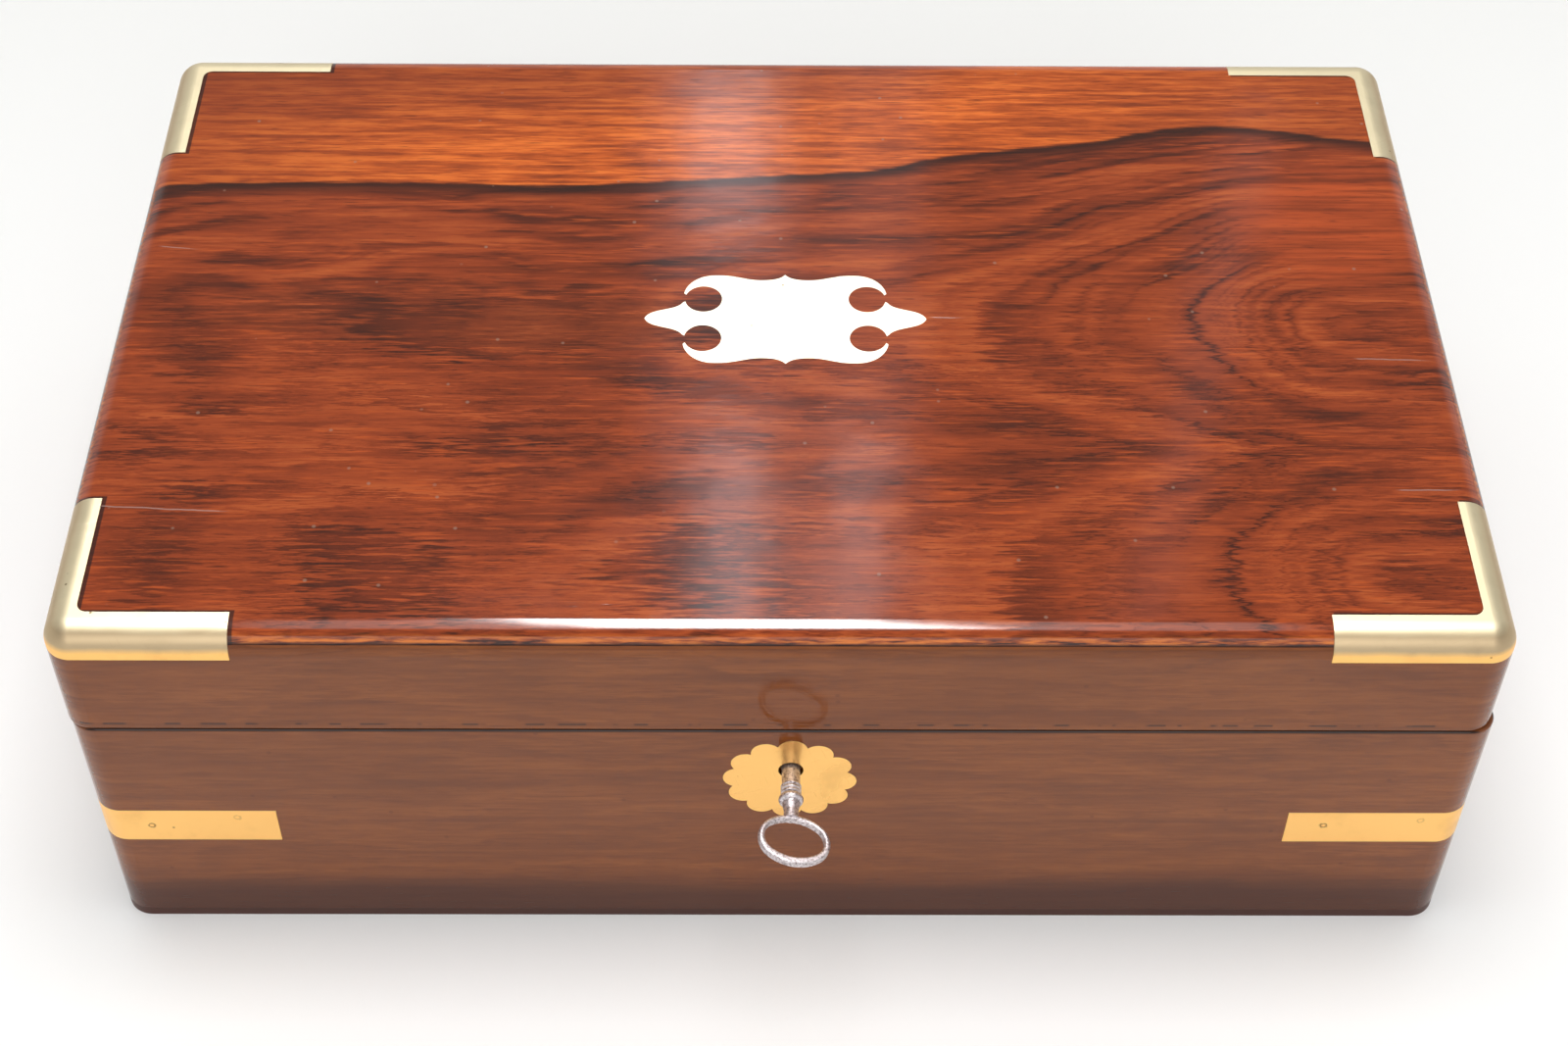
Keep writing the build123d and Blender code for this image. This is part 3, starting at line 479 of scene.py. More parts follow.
@dataclass(frozen=True)
class FiguredRosewood(Finish):
    """French-polished rosewood veneer of the lid, with its sapwood band and swirl.

    The rings come from the depth of the log's heart under the veneer, from its left
    end to its right one.  In front of the axis they repeat at each fold.
    """

    corner_leg: float = 51.0
    corner_width: float = 9.5
    axis_y: float = -4.0
    fold: float = 50.0
    heart_depth: Points = (
        (-200, 72), (-183, 70), (-100, 66), (-50, 64), (0, 60), (40, 57), (75, 52), (100, 45),
        (125, 33), (150, 15), (168, 5), (200, 3))
    sap_border: Points = (
        (-200, 57.5), (-190, 58.6), (-150, 60), (-100, 59.5), (-76, 58.5), (-50, 60), (0, 64),
        (25, 66), (50, 73), (75, 77.5), (100, 81), (115, 85.5), (135, 89), (150, 88.5),
        (165, 86), (180, 83), (200, 80.5))
    tone: Points = (
        (0, 0.5), (14, 0.42), (22, 0.34), (28, 0.5), (36, 0.36), (44, 0.5), (52, 0.45),
        (60, 0.56), (65, 0.5), (68.5, 0.16), (73, 0.56), (80, 0.46), (87, 0.36), (93, 0.2),
        (100, 0.3))
    heart: Stops = (
        (0.20, paint(62, 26, 12)), (0.38, paint(98, 38, 14)), (0.54, paint(130, 52, 20)),
        (0.70, paint(154, 66, 27)), (0.90, paint(184, 90, 40)))
    sap: Stops = (
        (0.22, paint(122, 52, 20)), (0.42, paint(158, 69, 24)), (0.58, paint(194, 89, 31)),
        (0.78, paint(226, 115, 44)))
    edge: Stops = (
        (0.36, paint(54, 23, 11)), (0.46, paint(134, 60, 20)), (0.60, paint(198, 108, 38)))
    lens: Region = Region(-92.0, -7.0, 92.0, 17.0, 0.06)
    patch: Region = Region(172.0, 43.0, 34.0, 31.0)
    cracks: tuple[Crack, ...] = (
        Crack(-193.0, -153.0, -78.4, -0.05, 0.3), Crack(168.0, 193.0, -18.0, -0.03, 0.28),
        Crack(172.0, 193.0, -71.0, 0.0, 0.28), Crack(43.0, 56.0, -0.9, -0.02, 0.26),
        Crack(-193.0, -178.0, 30.0, -0.12, 0.26))

    def ring_distance(self, bench: Bench, at: Spot) -> Socket:
        """How far a point of the veneer lay from the heart of the log."""
        from_axis = bench.less(at.y, self.axis_y)
        folded = bench.math("PINGPONG", bench.times(from_axis, -1.0), self.fold)
        across = bench.most(from_axis, folded)
        depth = bench.curve(at.x, self.heart_depth, (0, 80))
        squares = bench.add(bench.times(across, across), bench.times(depth, depth))
        return bench.math("SQRT", squares)

    def heartwood(self, bench: Bench, at: Spot, wood: Outputs, rings: Socket,
                  slow: Socket) -> Socket:
        """Colour of the heartwood.

        Args:
            bench: the material's bench.
            at: point of the veneer.
            wood: outputs of the wood's figure.
            rings: distance from the heart of the log.
            slow: slow noise that also bends the rings.

        Returns:
            The colour, with the dark lens and the reddish patch.
        """
        fibre, strands = wood["Fibre"], wood["Strands"]
        tone = bench.curve(rings, self.tone, (0, 1))
        value = bench.weigh((tone, 0.46), (wood["Bands"], 0.24), (wood["Lines"], 0.24),
                            (fibre, 0.12), (strands, 0.18), base=-0.08)
        colour = bench.palette(value, self.heart)
        streaks = bench.times(wood["Streaks"], bench.step(slow, 0.35, 0.62, 0.25, 0.7))
        colour = bench.blend(streaks, colour, paint(190, 84, 30))

        out = self.lens.reach(bench, at, bench.sway(fibre, 0.9), bench.sway(strands, 0.7))
        lens_tone = bench.blend(fibre, paint(58, 26, 13), paint(92, 40, 18))
        colour = bench.blend(bench.fade(out, 0.35, 1.15, 0.42), colour, lens_tone)
        out = self.patch.reach(bench, at, bench.sway(fibre, 0.5))
        patch_tone = bench.blend(strands, paint(134, 54, 20), paint(186, 78, 31))
        return bench.blend(bench.fade(out, 0.15, 1.25, 0.82), colour, patch_tone)

    def sapwood(self, bench: Bench, at: Spot, wood: Outputs, behind: Socket) -> Socket:
        """Colour of the sapwood, shaded towards the back and the ends."""
        value = bench.weigh((wood["Fibre"], 0.26), (wood["Strands"], 0.34),
                            (bench.noise(at.whole, 0.02, 3.0), 0.5))
        colour = bench.palette(value, self.sap)
        back = bench.step(bench.weigh((behind, 1.0), (at.x, -0.03)), 22.0, 58.0)
        colour = bench.blend(bench.times(back, 0.5), colour, paint(112, 44, 22))
        ends = bench.step(bench.size(bench.add(at.x, 10.0)), 70.0, HALF_LENGTH)
        return bench.blend(bench.times(ends, 0.5), colour, paint(124, 50, 22))

    def bedding(self, bench: Bench, at: Spot) -> Socket:
        """Where the dark line round the brass corners shows."""
        end_gap = bench.less(HALF_LENGTH, bench.size(at.x))
        face_gap = bench.less(HALF_DEPTH, bench.size(at.y))
        line, soft = 0.5, 0.4
        leg, width = self.corner_leg + line, self.corner_width + line
        return bench.most(*(bench.times(bench.fade(first, leg, leg + soft),
                                        bench.fade(second, width, width + soft))
                            for first, second in ((end_gap, face_gap), (face_gap, end_gap))))

    def paint(self, bench: Bench) -> dict[str, Value]:
        """Colour, gloss and open grain of the veneer."""
        at = self.spot(bench)
        slow = bench.stretched((at.x, 0.014), (at.y, 0.03), 2.0)
        rings = bench.add(self.ring_distance(bench, at), bench.sway(slow, 12.0))
        jag = bench.step(at.y, -30.0, 25.0, 14.0, 2.5)
        wood = GROUPS.figure(bench, Along=at.x, Across=at.y, Rings=rings, Band=7.0, Line=2.6,
                             Jag=jag)
        behind = bench.add(bench.less(at.y, bench.curve(at.x, self.sap_border, (50, 100))),
                           bench.sway(wood["Fibre"], 0.8))
        colour = bench.blend(bench.step(behind, -0.4, 0.9),
                             self.heartwood(bench, at, wood, rings, slow),
                             self.sapwood(bench, at, wood, behind))
        border = bench.times(bench.step(behind, -7.0, -0.2), bench.fade(behind, 0.0, 1.6, 0.92))
        colour = bench.blend(border, colour, paint(50, 22, 11))
        colour = bench.blend(bench.times(wood["Pores"], 0.5), colour, paint(58, 22, 12))

        rim = bench.fade(at.z, 129.2, 131.0)
        rim_noise = bench.stretched((at.x, 0.1), at.y, (at.z, 0.9), detail=3.0, rough=0.6)
        colour = bench.blend(rim, colour, bench.palette(rim_noise, self.edge))
        # dark joint line under the rounded edge, partly painted shade
        joint = bench.fade(at.z, 128.5, 129.3, 0.9)
        colour = bench.blend(joint, colour, paint(34, 15, 10))
        colour = bench.blend(bench.times(self.bedding(bench, at), 0.8), colour,
                             paint(30, 16, 14))

        marks = at.wear(bench, 0.7)
        crack = bench.most(*(crack.mask(bench, at) for crack in self.cracks))
        colour = bench.blend(bench.times(crack, 0.6), colour, paint(150, 112, 96))
        colour = bench.blend(bench.times(marks["Specks"], 0.55), colour, paint(150, 120, 100))
        ripple = bench.stretched((at.x, 0.03), (at.y, 0.05))
        height = bench.weigh((ripple, 6.0), (wood["Pores"], -0.15), (crack, -2.0),
                             (wood["Fibre"], 0.1))
        return {
            "Base Color": colour,
            "Roughness": bench.weigh((marks["Clouds"], 0.06), (crack, 0.3), base=0.07),
            "Height": height,
            "Specular IOR Level": bench.weigh((rim, -0.24), base=0.42),
        }


@dataclass(frozen=True)
class Rosewood(Finish):
    """Plainer polished rosewood of the carcase boards.

    The seam is seam_front high at the front and drops by seam_fall for each
    millimetre towards the back.
    """

    grain: Grain = Grain.ALONG_X
    dark: Colour = paint(102, 52, 19)
    middle: Colour = paint(117, 61, 22)
    light: Colour = paint(132, 72, 28)
    pore: Colour = paint(78, 38, 15)
    shade: Colour = paint(64, 27, 12)
    # dark colour of the seam and its chips, also used as painted shade
    grime_and_shade: Colour = paint(26, 12, 8)
    gloss: float = 0.025
    seam_front: float = 92.3
    seam_fall: float = 26.5 / 252.5
    top_joint: float = 128.3

    def dirt_and_shade(self, bench: Bench, at: Spot, along: Socket) -> Socket:
        """Dark seam line, partly painted shade, and painted shade under the top, with dashes
        where the seam's lip is chipped.
        """
        off_seam = bench.add(at.z, bench.times(bench.add(at.y, HALF_DEPTH), self.seam_fall),
                             -self.seam_front)
        skin = bench.most(*(bench.step(bench.size(value), half - 0.8, half - 0.4)
                            for value, half in ((at.x, HALF_LENGTH), (at.y, HALF_DEPTH))))
        # the seam's dark line, partly painted shade in its gap
        joint = bench.fade(bench.size(off_seam), 0.45, 0.95, 0.92)
        chips = bench.step(bench.stretched((along, 0.11), 0.0, 4.0), 0.50, 0.56)
        dashes = bench.times(bench.fade(bench.apart(off_seam, 2.8), 0.2, 0.6, 0.7), chips)
        # painted shade: a dark band on the boards just under the top's rounded edge
        shade_under_top = bench.step(at.z, self.top_joint - 1.5, self.top_joint - 0.5, 0.0, 0.6)
        return bench.times(bench.most(joint, dashes, shade_under_top), skin)

    def paint(self, bench: Bench) -> dict[str, Value]:
        """Colour, gloss and grain of a board."""
        at = self.spot(bench)
        along, depth = (at.x, at.y) if self.grain is Grain.ALONG_X else (at.y, at.x)
        slow = bench.stretched((along, 0.012), (at.z, 0.035), (depth, 0.01))
        rings = bench.weigh((at.z, 0.8), (slow, 34.0))
        wood = GROUPS.figure(bench, Along=along, Across=at.z, Rings=rings, Depth=depth, Band=7.0,
                             Line=1.8)
        value = bench.weigh((wood["Bands"], 0.25), (wood["Lines"], 0.2), (wood["Strands"], 0.3),
                            (wood["Fibre"], 0.25))
        colour = bench.palette(value, ((0.18, self.dark), (0.5, self.middle), (0.85, self.light)))
        colour = bench.blend(bench.times(wood["Pores"], 0.35), colour, self.pore)
        patina = bench.step(bench.noise(at.whole, 0.018, 3.0), 0.42, 0.7, 0.0, 0.35)
        colour = bench.blend(patina, colour, self.dark)
        marks = at.wear(bench, 0.6)
        colour = bench.blend(bench.times(marks["Specks"], 0.4), colour, self.pore)
        # painted shade in the seam and under the top, with the dark chips
        colour = bench.blend(self.dirt_and_shade(bench, at, along), colour, self.grime_and_shade)
        foot = bench.fade(bench.add(at.z, bench.sway(slow, 8.0)), 12.0, 27.0, 0.85)
        ripple = bench.stretched((along, 0.025), (at.z, 0.04))
        height = bench.weigh((ripple, 7.0), (wood["Pores"], -0.5), (wood["Fibre"], 0.3))
        return {
            "Base Color": bench.blend(foot, colour, self.shade),
            "Roughness": bench.weigh((marks["Clouds"], 0.07), base=self.gloss),
            "Height": height,
            "Specular IOR Level": 0.38,
        }


@dataclass(frozen=True)
class Brass(Finish):
    """Old lacquered brass with painted reflections: golden on upright faces, pale on faces that
    look up.
    """

    gold: Colour = paint(255, 202, 122)
    slope: Colour = paint(190, 168, 134)
    pale: Colour = paint(210, 197, 164)
    stain: Colour = paint(96, 70, 36)
    base_roughness: float = 0.36
    scratch: float = 0.16
    fineness: float = 1.0

    def tarnish(self, bench: Bench, at: Spot, colour: Socket) -> Socket:
        """Colour with what a kind of brass adds to it; plain brass adds nothing."""
        return colour

    def paint(self, bench: Bench) -> dict[str, Value]:
        """Colour by the way a face looks, as painted reflections, with scratches and dark specks.
        """
        at = self.spot(bench)
        normal = bench.put("ShaderNodeTexCoord").outputs["Normal"]
        up = bench.put("ShaderNodeSeparateXYZ", {0: normal}).outputs[2]
        marks = at.wear(bench, self.fineness)
        scratches, specks, clouds = marks["Scratches"], marks["Specks"], marks["Clouds"]
        # painted reflection: faces that look up are painted pale and upright faces golden, as the
        # room would show in them
        facing = bench.add(up, bench.sway(clouds, 0.2))
        colour = bench.palette(facing, ((0.12, self.gold), (0.38, self.slope),
                                        (0.78, self.slope), (0.97, self.pale)))
        smears = bench.step(clouds, 0.52, 0.75, 0.0, 0.12)
        colour = bench.blend(smears, colour, self.stain, "MULTIPLY")
        colour = bench.blend(bench.times(specks, 0.8), colour, self.stain)
        height = bench.weigh((scratches, -0.6), (specks, -1.5), (clouds, 1.2))
        return {
            "Base Color": self.tarnish(bench, at, colour),
            "Metallic": 1.0,
            "Roughness": bench.weigh((clouds, 0.12), (scratches, self.scratch),
                                     base=self.base_roughness),
            "Height": height,
        }


@dataclass(frozen=True)
class Pin:
    """Pin head in a brass strap: its place in millimetres, and how dark its ring is."""

    x: float
    z: float
    strength: float


@dataclass(frozen=True)
class StrapBrass(Brass):
    """Brass of a corner strap, with the dark rings round the heads of its pins."""

    pins: tuple[Pin, ...] = (Pin(-184.0, 46.5, 1.0), Pin(158.0, 47.5, 1.0),
                             Pin(-158.5, 50.5, 0.4), Pin(186.0, 50.0, 0.4))
    ring_radius: float = 1.4

    def tarnish(self, bench: Bench, at: Spot, colour: Socket) -> Socket:
        """Add the pins' rings to the plain brass."""
        wander = bench.noise(at.whole, 1.4, 2.0)
        rings = []
        for pin in self.pins:
            away = bench.xyz(bench.less(at.x, pin.x), 0.0, bench.less(at.z, pin.z))
            far = bench.put("ShaderNodeVectorMath", {0: away}, operation="LENGTH")
            off = bench.apart(bench.add(far.outputs["Value"], wander), self.ring_radius)
            rings.append(bench.fade(off, 0.1, 0.45, pin.strength))
        return bench.blend(bench.times(bench.most(*rings), 0.7), colour, self.stain)


@dataclass(frozen=True)
class Steel(Finish):
    """Worn steel with a little old rust in its pits."""

    relief: float = 0.03 * MM
    bright: Colour = paint(218, 210, 212)
    dull: Colour = paint(146, 134, 134)
    rust: Colour = paint(78, 50, 38)
    base_roughness: float = 0.38

    def paint(self, bench: Bench) -> dict[str, Value]:
        """Colour, pits and scratches."""
        at = self.spot(bench)
        scratches = at.wear(bench, 3.0)["Scratches"]
        pits = bench.noise(at.whole, 1.3, 4.0, 0.65)
        colour = bench.blend(bench.step(pits, 0.42, 0.66), self.bright, self.dull)
        rusted = bench.times(bench.step(pits, 0.6, 0.72), 0.7)
        height = bench.weigh((pits, -3.0), (scratches, -0.5))
        return {
            "Base Color": bench.blend(rusted, colour, self.rust),
            "Metallic": 1.0,
            "Roughness": bench.weigh((pits, 0.2), (scratches, 0.15), base=self.base_roughness),
            "Height": height,
        }


@dataclass(frozen=True)
class InnerWood(Finish):
    """Waxed, unpolished wood of the fitted inside."""

    relief: float = 0.04 * MM
    grain: Grain = Grain.ALONG_X
    dark: Colour = paint(92, 48, 26)
    middle: Colour = paint(132, 74, 40)
    light: Colour = paint(160, 98, 56)

    def paint(self, bench: Bench) -> dict[str, Value]:
        """Colour and open grain."""
        at = self.spot(bench)
        along, across = (at.x, at.y) if self.grain is Grain.ALONG_X else (at.y, at.x)
        both = bench.weigh((across, 1.0), (at.z, 1.2))
        slow = bench.stretched((along, 0.01), (both, 0.03))
        rings = bench.weigh((both, 1.0), (slow, 26.0))
        wood = GROUPS.figure(bench, Along=along, Across=both, Rings=rings, Depth=at.z, Band=10.0,
                             Line=2.6)
        fibre, pores = wood["Fibre"], wood["Pores"]
        value = bench.weigh((wood["Bands"], 0.3), (wood["Lines"], 0.3), (fibre, 0.4))
        colour = bench.palette(value, ((0.2, self.dark), (0.5, self.middle), (0.85, self.light)))
        colour = bench.blend(bench.times(pores, 0.6), colour, self.dark)
        stain = bench.step(bench.noise(at.whole, 0.03, 4.0), 0.56, 0.72, 0.0, 0.5)
        return {
            "Base Color": bench.blend(stain, colour, self.dark),
            "Roughness": bench.weigh((fibre, 0.2), base=0.42),
            "Height": bench.weigh((pores, -1.5), (fibre, 1.0)),
        }


@dataclass(frozen=True)
class Leather(Finish):
    """Writing leather with gilt lines and a tooled border.

    Each line has its inset from the edge and half its width.  The border's roll
    repeats at roll_pitch, in radians per millimetre.
    """

    relief: float = 0.08 * MM
    outline: Region = Region(0.0, 0.0, 100.0, 50.0)
    hide: Colour = paint(28, 58, 40)
    worn: Colour = paint(48, 74, 50)
    ink: Colour = paint(12, 16, 20)
    gilt: Colour = paint(222, 174, 84)
    lines: Points = ((4.0, 0.35), (6.2, 0.2), (15.0, 0.35))
    roll_inset: float = 10.6
    roll_pitch: float = 0.9

    def gilding(self, bench: Bench, at: Spot) -> Socket:
        """Where gold shows: thin lines and a tooled border, partly rubbed away."""
        inset = self.outline.inset(bench, at)
        parts = [bench.fade(bench.apart(inset, distance), half_width * 0.7, half_width * 1.3)
                 for distance, half_width in self.lines]
        beads, petals = (bench.size(bench.math("SINE", bench.times(slant, self.roll_pitch)))
                         for slant in (bench.add(at.x, at.y), bench.less(at.x, at.y)))
        between = bench.fade(bench.apart(inset, self.roll_inset), 2.4, 3.0)
        roll = bench.step(bench.times(beads, petals), 0.62, 0.78)
        rubbed = bench.step(bench.noise(at.whole, 0.35, 3.0), 0.34, 0.52)
        return bench.times(bench.most(*parts, bench.times(roll, between)), rubbed)

    def paint(self, bench: Bench) -> dict[str, Value]:
        """Hide, wear, gilding and pebbled grain."""
        at = self.spot(bench)
        clouds = bench.noise(at.whole, 0.03, 4.0, 0.6)
        colour = bench.blend(bench.step(clouds, 0.35, 0.80), self.hide, self.worn)
        stains = bench.times(bench.step(bench.noise(at.whole, 0.05, 2.0), 0.70, 0.73), 0.7)
        colour = bench.blend(stains, colour, self.ink)
        gilded = self.gilding(bench, at)
        pebble = bench.scatter(at.whole, 0.9).outputs["Distance"]
        return {
            "Base Color": bench.blend(gilded, colour, self.gilt),
            "Metallic": bench.times(gilded, 0.9),
            "Roughness": bench.weigh((clouds, 0.2), (gilded, -0.25), base=0.5),
            "Height": bench.less(pebble, gilded),
        }


@dataclass(frozen=True)
class Glass(Finish):
    """Thick pressed glass of the ink bottles, faintly green."""

    relief: float = 0.4 * MM
    tint: Colour = paint(226, 240, 232)
    smeared: Colour = paint(190, 206, 200)

    def paint(self, bench: Bench) -> dict[str, Value]:
        """Clear body with smears and faint ripples."""
        clouds = self.spot(bench).wear(bench, 1.5)["Clouds"]
        smear = bench.step(clouds, 0.5, 0.75)
        return {
            "Base Color": bench.blend(bench.times(smear, 0.25), self.tint, self.smeared),
            "Roughness": bench.weigh((smear, 0.12), base=0.03),
            "Transmission Weight": 1.0,
            "IOR": 1.5,
            "Height": clouds,
        }


@dataclass(frozen=True)
class Ink(Finish):
    """Blue-black ink, dried at its rim."""

    relief: float = 0.3 * MM
    wet: Colour = paint(10, 12, 26)
    dried: Colour = paint(34, 36, 58)

    def paint(self, bench: Bench) -> dict[str, Value]:
        """Dark body with a duller skin in places."""
        skin = bench.noise(self.spot(bench).whole, 0.15, 3.0)
        return {
            "Base Color": bench.blend(bench.step(skin, 0.5, 0.7), self.wet, self.dried),
            "Roughness": bench.weigh((skin, 0.2), base=0.05),
            "Height": skin,
        }


@dataclass(frozen=True)
class FloorPaper(Finish):
    """Matt pale paper, with painted shade that makes it darker behind the slope than in front of
    it.
    """

    near: Colour = paint(253, 253, 252)
    far: Colour = paint(243, 243, 240)

    def paint(self, bench: Bench) -> dict[str, Value]:
        """Ease from the near colour to the far one, in metres towards the back."""
        place = bench.put("ShaderNodeTexCoord").outputs["Object"]
        back = bench.put("ShaderNodeSeparateXYZ", {0: place}).outputs[1]
        away = bench.add(back, bench.times(bench.noise(place, 2.0, 2.0), 0.05))
        return {
            # painted shade: the floor's colour darkens towards the back
            "Base Color": bench.blend(bench.step(away, 0.0, 0.55), self.near, self.far),
            "Roughness": 0.6,
            "Specular IOR Level": 0.1,
        }


def dress(names: Iterable[str], finish: Finish) -> None:
    """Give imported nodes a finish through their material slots."""
    material = finish.material()
    for name in names:
        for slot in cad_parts[name].material_slots:
            slot.material = material
        log.info("%s is finished in %s", name, finish.name)


def corners(pattern: str) -> list[str]:
    """The four names of a piece that stands at every corner."""
    return [pattern.format(f"{end}_{side}")
            for end in ("front", "back") for side in ("left", "right")]


def pairs(*names: str) -> list[str]:
    """The left and right names of some pieces."""
    return [f"{name}_{side}" for name in names for side in ("left", "right")]


def stand(name: str, data: bpy.types.ID) -> bpy.types.Object:
    """Make an object and link it to the scene."""
    thing = bpy.data.objects.new(name, data)
    bpy.context.scene.collection.objects.link(thing)
    return thing


@dataclass
class Carcase:
    """Outer boards of the base and of the lid."""

    across: tuple[str, ...] = ("base_front", "base_back", "lid_front", "lid_back")
    along: tuple[str, ...] = ("base_left", "base_right", "lid_left", "lid_right")

    def build(self) -> None:
        """Dress the boards by the way their grain runs, and the veneered top."""
        dress(self.across, Rosewood("rosewood_long_boards"))
        dress(self.along, Rosewood("rosewood_end_boards", grain=Grain.ALONG_Y))
        dress(["base_bottom"],
              Rosewood("rosewood_bottom", dark=paint(40, 18, 10), middle=paint(66, 30, 16),
                       light=paint(88, 42, 22), gloss=0.4))
        dress(["lid_top"], FiguredRosewood("figured_rosewood"))


@dataclass
class BrassMounts:
    """Brass let into the outside, and the brass hinges, plates and caps inside."""

    inside: tuple[str, ...] = (
        "hinge_screws_base", "hinge_screws_lid", "base_flap_hinges", "lid_flap_hinges",
        "catch_plates", "catch_left", "catch_right", "lock_case", "lock_cap", "lock_screws",
        "link_plate", "link_screws")

    def build(self) -> None:
        """Dress every brass node."""
        dress(corners("lid_corner_{}"), Brass("corner_brass"))
        dress(corners("base_strap_{}"), StrapBrass("strap_brass", base_roughness=0.3))
        dress(["escutcheon"], Brass("escutcheon_brass", base_roughness=0.2, scratch=0.12))
        dress(["cartouche"], Brass("cartouche_brass", pale=paint(222, 215, 190),
                                   base_roughness=0.3, scratch=0.1))
        dress([*pairs("hinge_leaf_base", "hinge_leaf_lid"), *self.inside],
              Brass("inner_brass", gold=paint(224, 176, 96), slope=paint(226, 182, 104),
                    pale=paint(230, 188, 112), fineness=1.6))
        dress(pairs("bottle_cap"),
              Brass("cap_brass", gold=paint(232, 184, 100), slope=paint(234, 192, 114),
                    pale=paint(236, 200, 128)))


@dataclass
class LockSteel:
    """Steel of the key, the bolt, the drill pin and the hinge pins."""

    def build(self) -> None:
        """Dress every steel node."""
        dress(["key"], Steel("key_steel"))
        dress(["lock_bolt", "drill_pin"],
              Steel("lock_steel", bright=paint(160, 156, 156), base_roughness=0.32))
        dress(pairs("hinge_pin"), Steel("pin_steel", base_roughness=0.3))


@dataclass
class WritingFlaps:
    """The two writing flaps, their leathers and the wood round them."""

    long_wood: tuple[str, ...] = (
        "base_flap", "lid_flap", "base_flap_ledges", "lid_flap_ledges", "tray_divider",
        "tray_supports", "pen_tray")
    leathers: tuple[str, ...] = ("base_leather", "lid_leather")

    def build(self) -> None:
        """Dress flaps, ledges, fittings and leathers."""
        dress(self.long_wood, InnerWood("inner_wood_long"))
        dress(pairs("bay_divider", "bay_floor"),
              InnerWood("inner_wood_short", grain=Grain.ALONG_Y))
        for name in self.leathers:
            low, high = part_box(name)
            middle = (Vector(low) + Vector(high)) / (2 * MM)
            half = (Vector(high) - Vector(low)) / (2 * MM)
            outline = Region(middle.x, middle.y, half.x, half.y)
            dress([name], Leather(f"{name}_hide", outline=outline))


@dataclass
class InkBottle:
    """A glass bottle's dressing and the ink that stands in it.

    The curl is the share of the radius over which the ink climbs the glass.
    """

    side: str
    well_radius: float = 16.9 * MM
    floor_above: float = 4.1 * MM
    ink_depth: float = 13.0 * MM
    meniscus: float = 1.6 * MM
    curl: float = 0.16
    climb_steps: int = 5
    foot_share: float = 0.96
    foot_round: float = 0.6 * MM
    steps: int = 48

    def profile(self) -> Points:
        """Half outline of the ink, with the edge that climbs the glass."""
        outline = [(0.0, 0.0), (self.well_radius * self.foot_share, 0.0),
                   (self.well_radius, self.foot_round)]
        for step in range(self.climb_steps, -1, -1):
            share = step / self.climb_steps
            outline.append((self.well_radius * (1 - self.curl * (1 - share) ** 2),
                            self.ink_depth + self.meniscus * share ** 3))
        return (*outline, (0.0, self.ink_depth))

    def build(self) -> None:
        """Turn the ink about the bottle's axis and stand it on the well's floor."""
        node = f"ink_bottle_{self.side}"
        dress([node], Glass("bottle_glass"))
        low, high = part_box(node)
        centre = (Vector(low) + Vector(high)) / 2
        piece = turned(f"ink_{self.side}", self.profile(), self.steps)
        for vertex in piece.data.vertices:
            vertex.co += Vector((centre.x, centre.y, low[2] + self.floor_above))
        piece.data.materials.append(Ink("ink").material())
        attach(piece, "base")
        log.info("%s stands in %s", piece.name, node)


def turned(name: str, profile: Points, steps: int) -> bpy.types.Object:
    """Turn a half outline about the Z axis.

    Args:
        name: the piece's name.
        profile: radius and height of each point, from the axis back to it.
        steps: how many steps make the full turn.

    Returns:
        The new piece, smooth and linked to the scene.
    """
    mesh = bpy.data.meshes.new(name)
    work = bmesh.new()
    points = [work.verts.new((radius, 0.0, height)) for radius, height in profile]
    edges = [work.edges.new(couple) for couple in zip(points, points[1:])]
    bmesh.ops.spin(work, geom=points + edges, axis=(0, 0, 1), cent=(0, 0, 0),
                   angle=2 * math.pi, steps=steps)
    bmesh.ops.remove_doubles(work, verts=work.verts, dist=1e-6)
    bmesh.ops.recalc_face_normals(work, faces=work.faces)
    for face in work.faces:
        face.smooth = True
    work.to_mesh(mesh)
    work.free()
    return stand(name, mesh)


@dataclass(frozen=True)
class Lamp:
    """Rectangular soft lamp, in metres and watts.

    A sheen_only lamp just shows as a reflection in what is polished.  A matt_only
    one lights surfaces without being reflected in them.
    """

    name: str
    place: Point
    size: tuple[float, float]
    power: float
    aim: Point = (0.0, 0.0, 0.13)
    tint: Point = (1.0, 1.0, 1.0)
    sheen_only: bool = False
    matt_only: bool = False

    def hang(self) -> None:
        """Make the lamp and turn it to what it faces."""
        data = bpy.data.lights.new(self.name, "AREA")
        data.shape = "RECTANGLE"
        data.size, data.size_y = self.size
        data.energy = self.power
        data.color = self.tint
        lamp = stand(self.name, data)
        lamp.location = self.place
        lamp.rotation_mode = "QUATERNION"
        facing = Vector(self.aim) - Vector(self.place)
        lamp.rotation_quaternion = facing.to_track_quat("-Z", "Y")
        lamp.visible_diffuse = not self.sheen_only
        lamp.visible_glossy = not self.matt_only


def pane(name: str, place: Point, size: tuple[float, float], power: float) -> Lamp:
    """Window pane behind the slope, which only shows as a bluish reflection."""
    return Lamp(name, place, size, power, tint=(0.88, 0.92, 1.0), sheen_only=True)


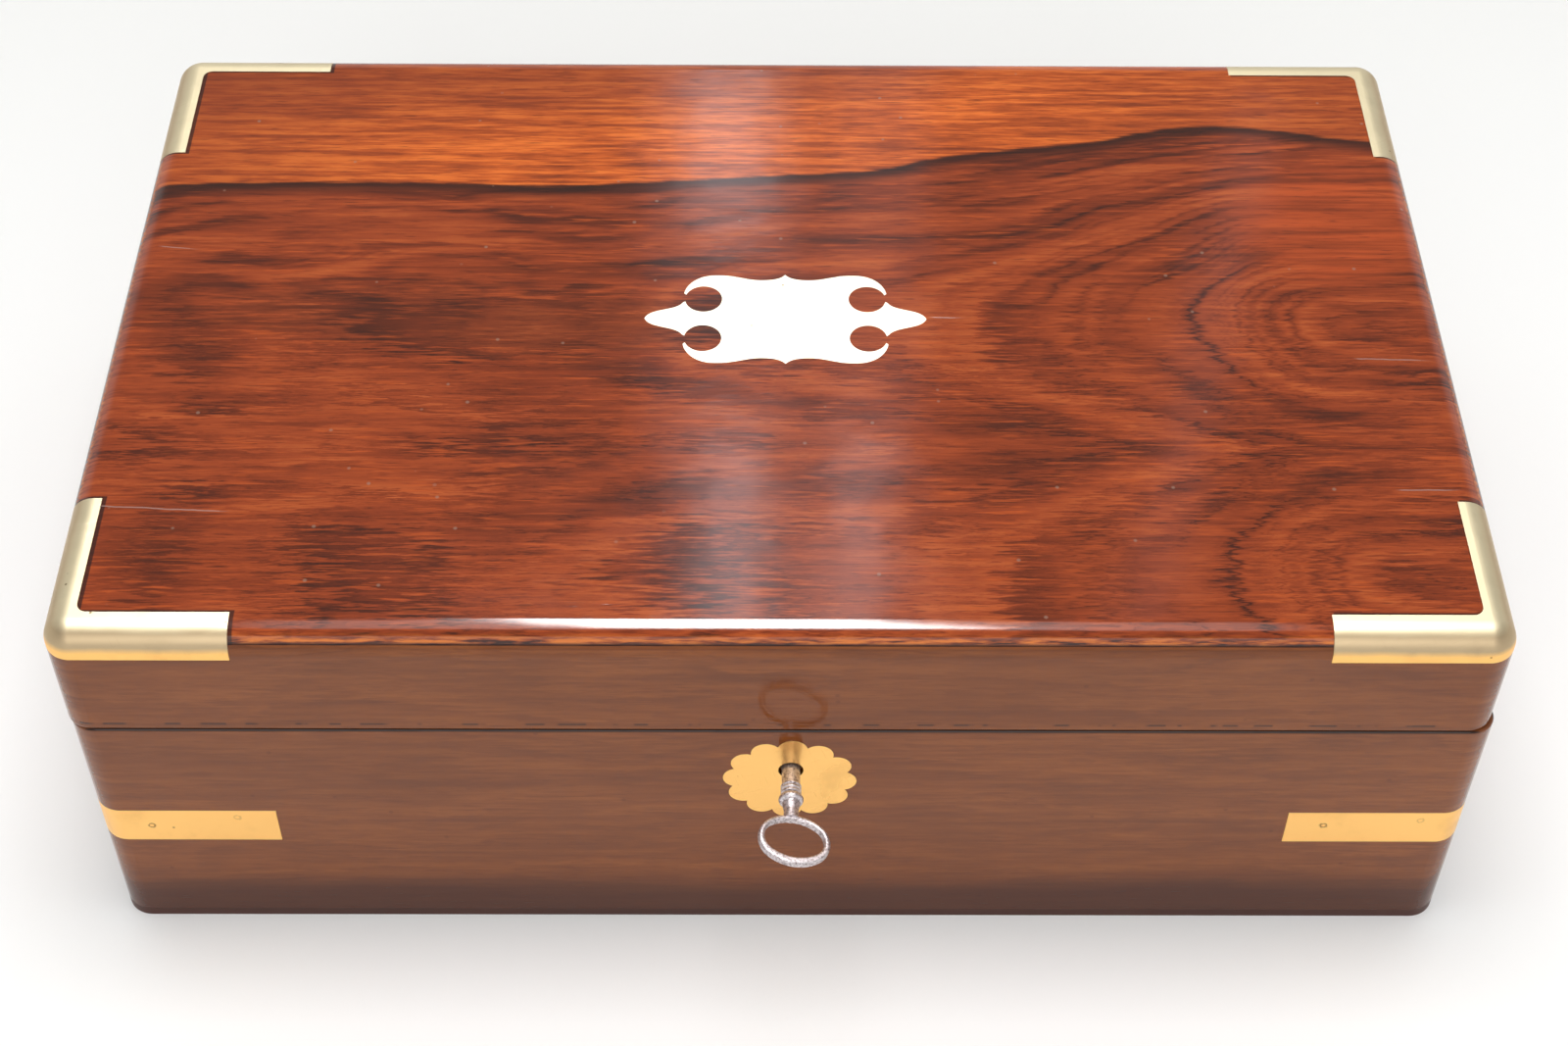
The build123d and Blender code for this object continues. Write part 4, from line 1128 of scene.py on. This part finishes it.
@dataclass
class Studio:
    """Camera, floor, lamps and surroundings, in metres, radians and shares."""

    lens: float = 58.43
    sensor_width: float = 36.0
    clips: tuple[float, float] = (0.02, 50.0)
    camera_place: Point = (-5.08 * MM, -557.86 * MM, 658.36 * MM)
    pitch: float = 0.8375
    yaw: float = 0.0104
    roll: float = 0.0104
    floor_reach: float = 4.0
    low_level: float = 0.9
    high_level: float = 0.42
    shown_level: float = 0.92
    lamps: tuple[Lamp, ...] = (
        Lamp("overhead_softbox", (0.0, 0.05, 2.0), (1.2, 0.8), 20.5, (0.0, 0.0, 0.1),
             matt_only=True),
        Lamp("front_fill", (0.0, -1.8, 1.3), (1.6, 1.0), 13.0, (0.0, -0.1, 0.05)),
        pane("pane_left_back", (-0.055, 2.0, 1.72), (0.10, 0.22), 0.22),
        pane("pane_left_front", (-0.055, 2.0, 2.55), (0.09, 0.42), 0.55),
        pane("pane_left_haze", (-0.06, 2.05, 2.15), (0.22, 1.4), 0.55),
        pane("pane_right_front", (0.132, 2.0, 2.55), (0.07, 0.42), 0.30),
        pane("pane_right_haze", (0.135, 2.05, 2.15), (0.14, 1.4), 0.32),
        pane("pane_far_right", (0.60, 2.0, 2.3), (0.06, 1.0), 0.12),
        Lamp("edge_glow", (0.0, 0.15, 2.1), (1.1, 1.3), 11.0, sheen_only=True),
        Lamp("edge_glow_core", (-0.04, 0.42, 2.05), (0.42, 1.5), 62.0, sheen_only=True),
    )

    def camera(self) -> None:
        """Camera at the photograph's place and angle."""
        data = bpy.data.cameras.new("camera")
        data.lens = self.lens
        data.sensor_width = self.sensor_width
        data.clip_start, data.clip_end = self.clips
        camera = stand("camera", data)
        level = math.cos(self.pitch)
        ahead = Vector((math.sin(self.yaw) * level, math.cos(self.yaw) * level,
                        -math.sin(self.pitch)))
        right = Vector((math.cos(self.yaw), -math.sin(self.yaw), 0.0))
        up = right.cross(ahead)
        right_rolled = math.cos(self.roll) * right + math.sin(self.roll) * up
        up_rolled = math.cos(self.roll) * up - math.sin(self.roll) * right
        turn = Matrix((right_rolled, up_rolled, -ahead)).transposed().to_4x4()
        camera.matrix_world = Matrix.Translation(self.camera_place) @ turn
        bpy.context.scene.camera = camera

    def floor(self) -> None:
        """Level floor that reaches past what the camera sees."""
        mesh = bpy.data.meshes.new("floor")
        work = bmesh.new()
        bmesh.ops.create_grid(work, x_segments=8, y_segments=8, size=self.floor_reach)
        work.to_mesh(mesh)
        work.free()
        floor = stand("floor", mesh)
        mesh.materials.append(FloorPaper("pale_floor").material())

    def world(self) -> None:
        """Surroundings: pale near the floor, dimmer overhead."""
        world = bpy.data.worlds.new("studio")
        world.use_nodes = True
        world.node_tree.nodes.clear()
        bench = Bench(world.node_tree)
        ray = bench.put("ShaderNodeTexCoord").outputs["Generated"]
        height = bench.put("ShaderNodeSeparateXYZ", {0: ray}).outputs[2]
        level = bench.step(height, 0.28, 0.60, self.low_level, self.high_level)
        path = bench.put("ShaderNodeLightPath").outputs
        shown = bench.most(path["Is Camera Ray"], path["Is Transmission Ray"])
        strength = bench.add(bench.times(shown, self.shown_level),
                             bench.times(bench.less(1.0, shown), level))
        background = bench.put("ShaderNodeBackground",
                               {"Color": paint(250, 250, 250), "Strength": strength})
        bench.put("ShaderNodeOutputWorld", {"Surface": background.outputs[0]})
        bpy.context.scene.world = world

    def build(self) -> None:
        """Set up the whole studio."""
        self.camera()
        self.floor()
        for lamp in self.lamps:
            lamp.hang()
        self.world()
        bpy.context.scene.view_settings.view_transform = "Standard"
        log.info("studio stands ready")


def main() -> None:
    """Build and dress the writing slope, and stand it in the studio."""
    logging.basicConfig(level=logging.INFO, format="%(name)s: %(message)s")
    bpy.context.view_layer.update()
    for assembly in (Studio(), Carcase(), BrassMounts(), LockSteel(), WritingFlaps(),
                     InkBottle("left"), InkBottle("right")):
        assembly.build()
        log.info("built %s", type(assembly).__name__)


if __name__ == "__main__":
    main()
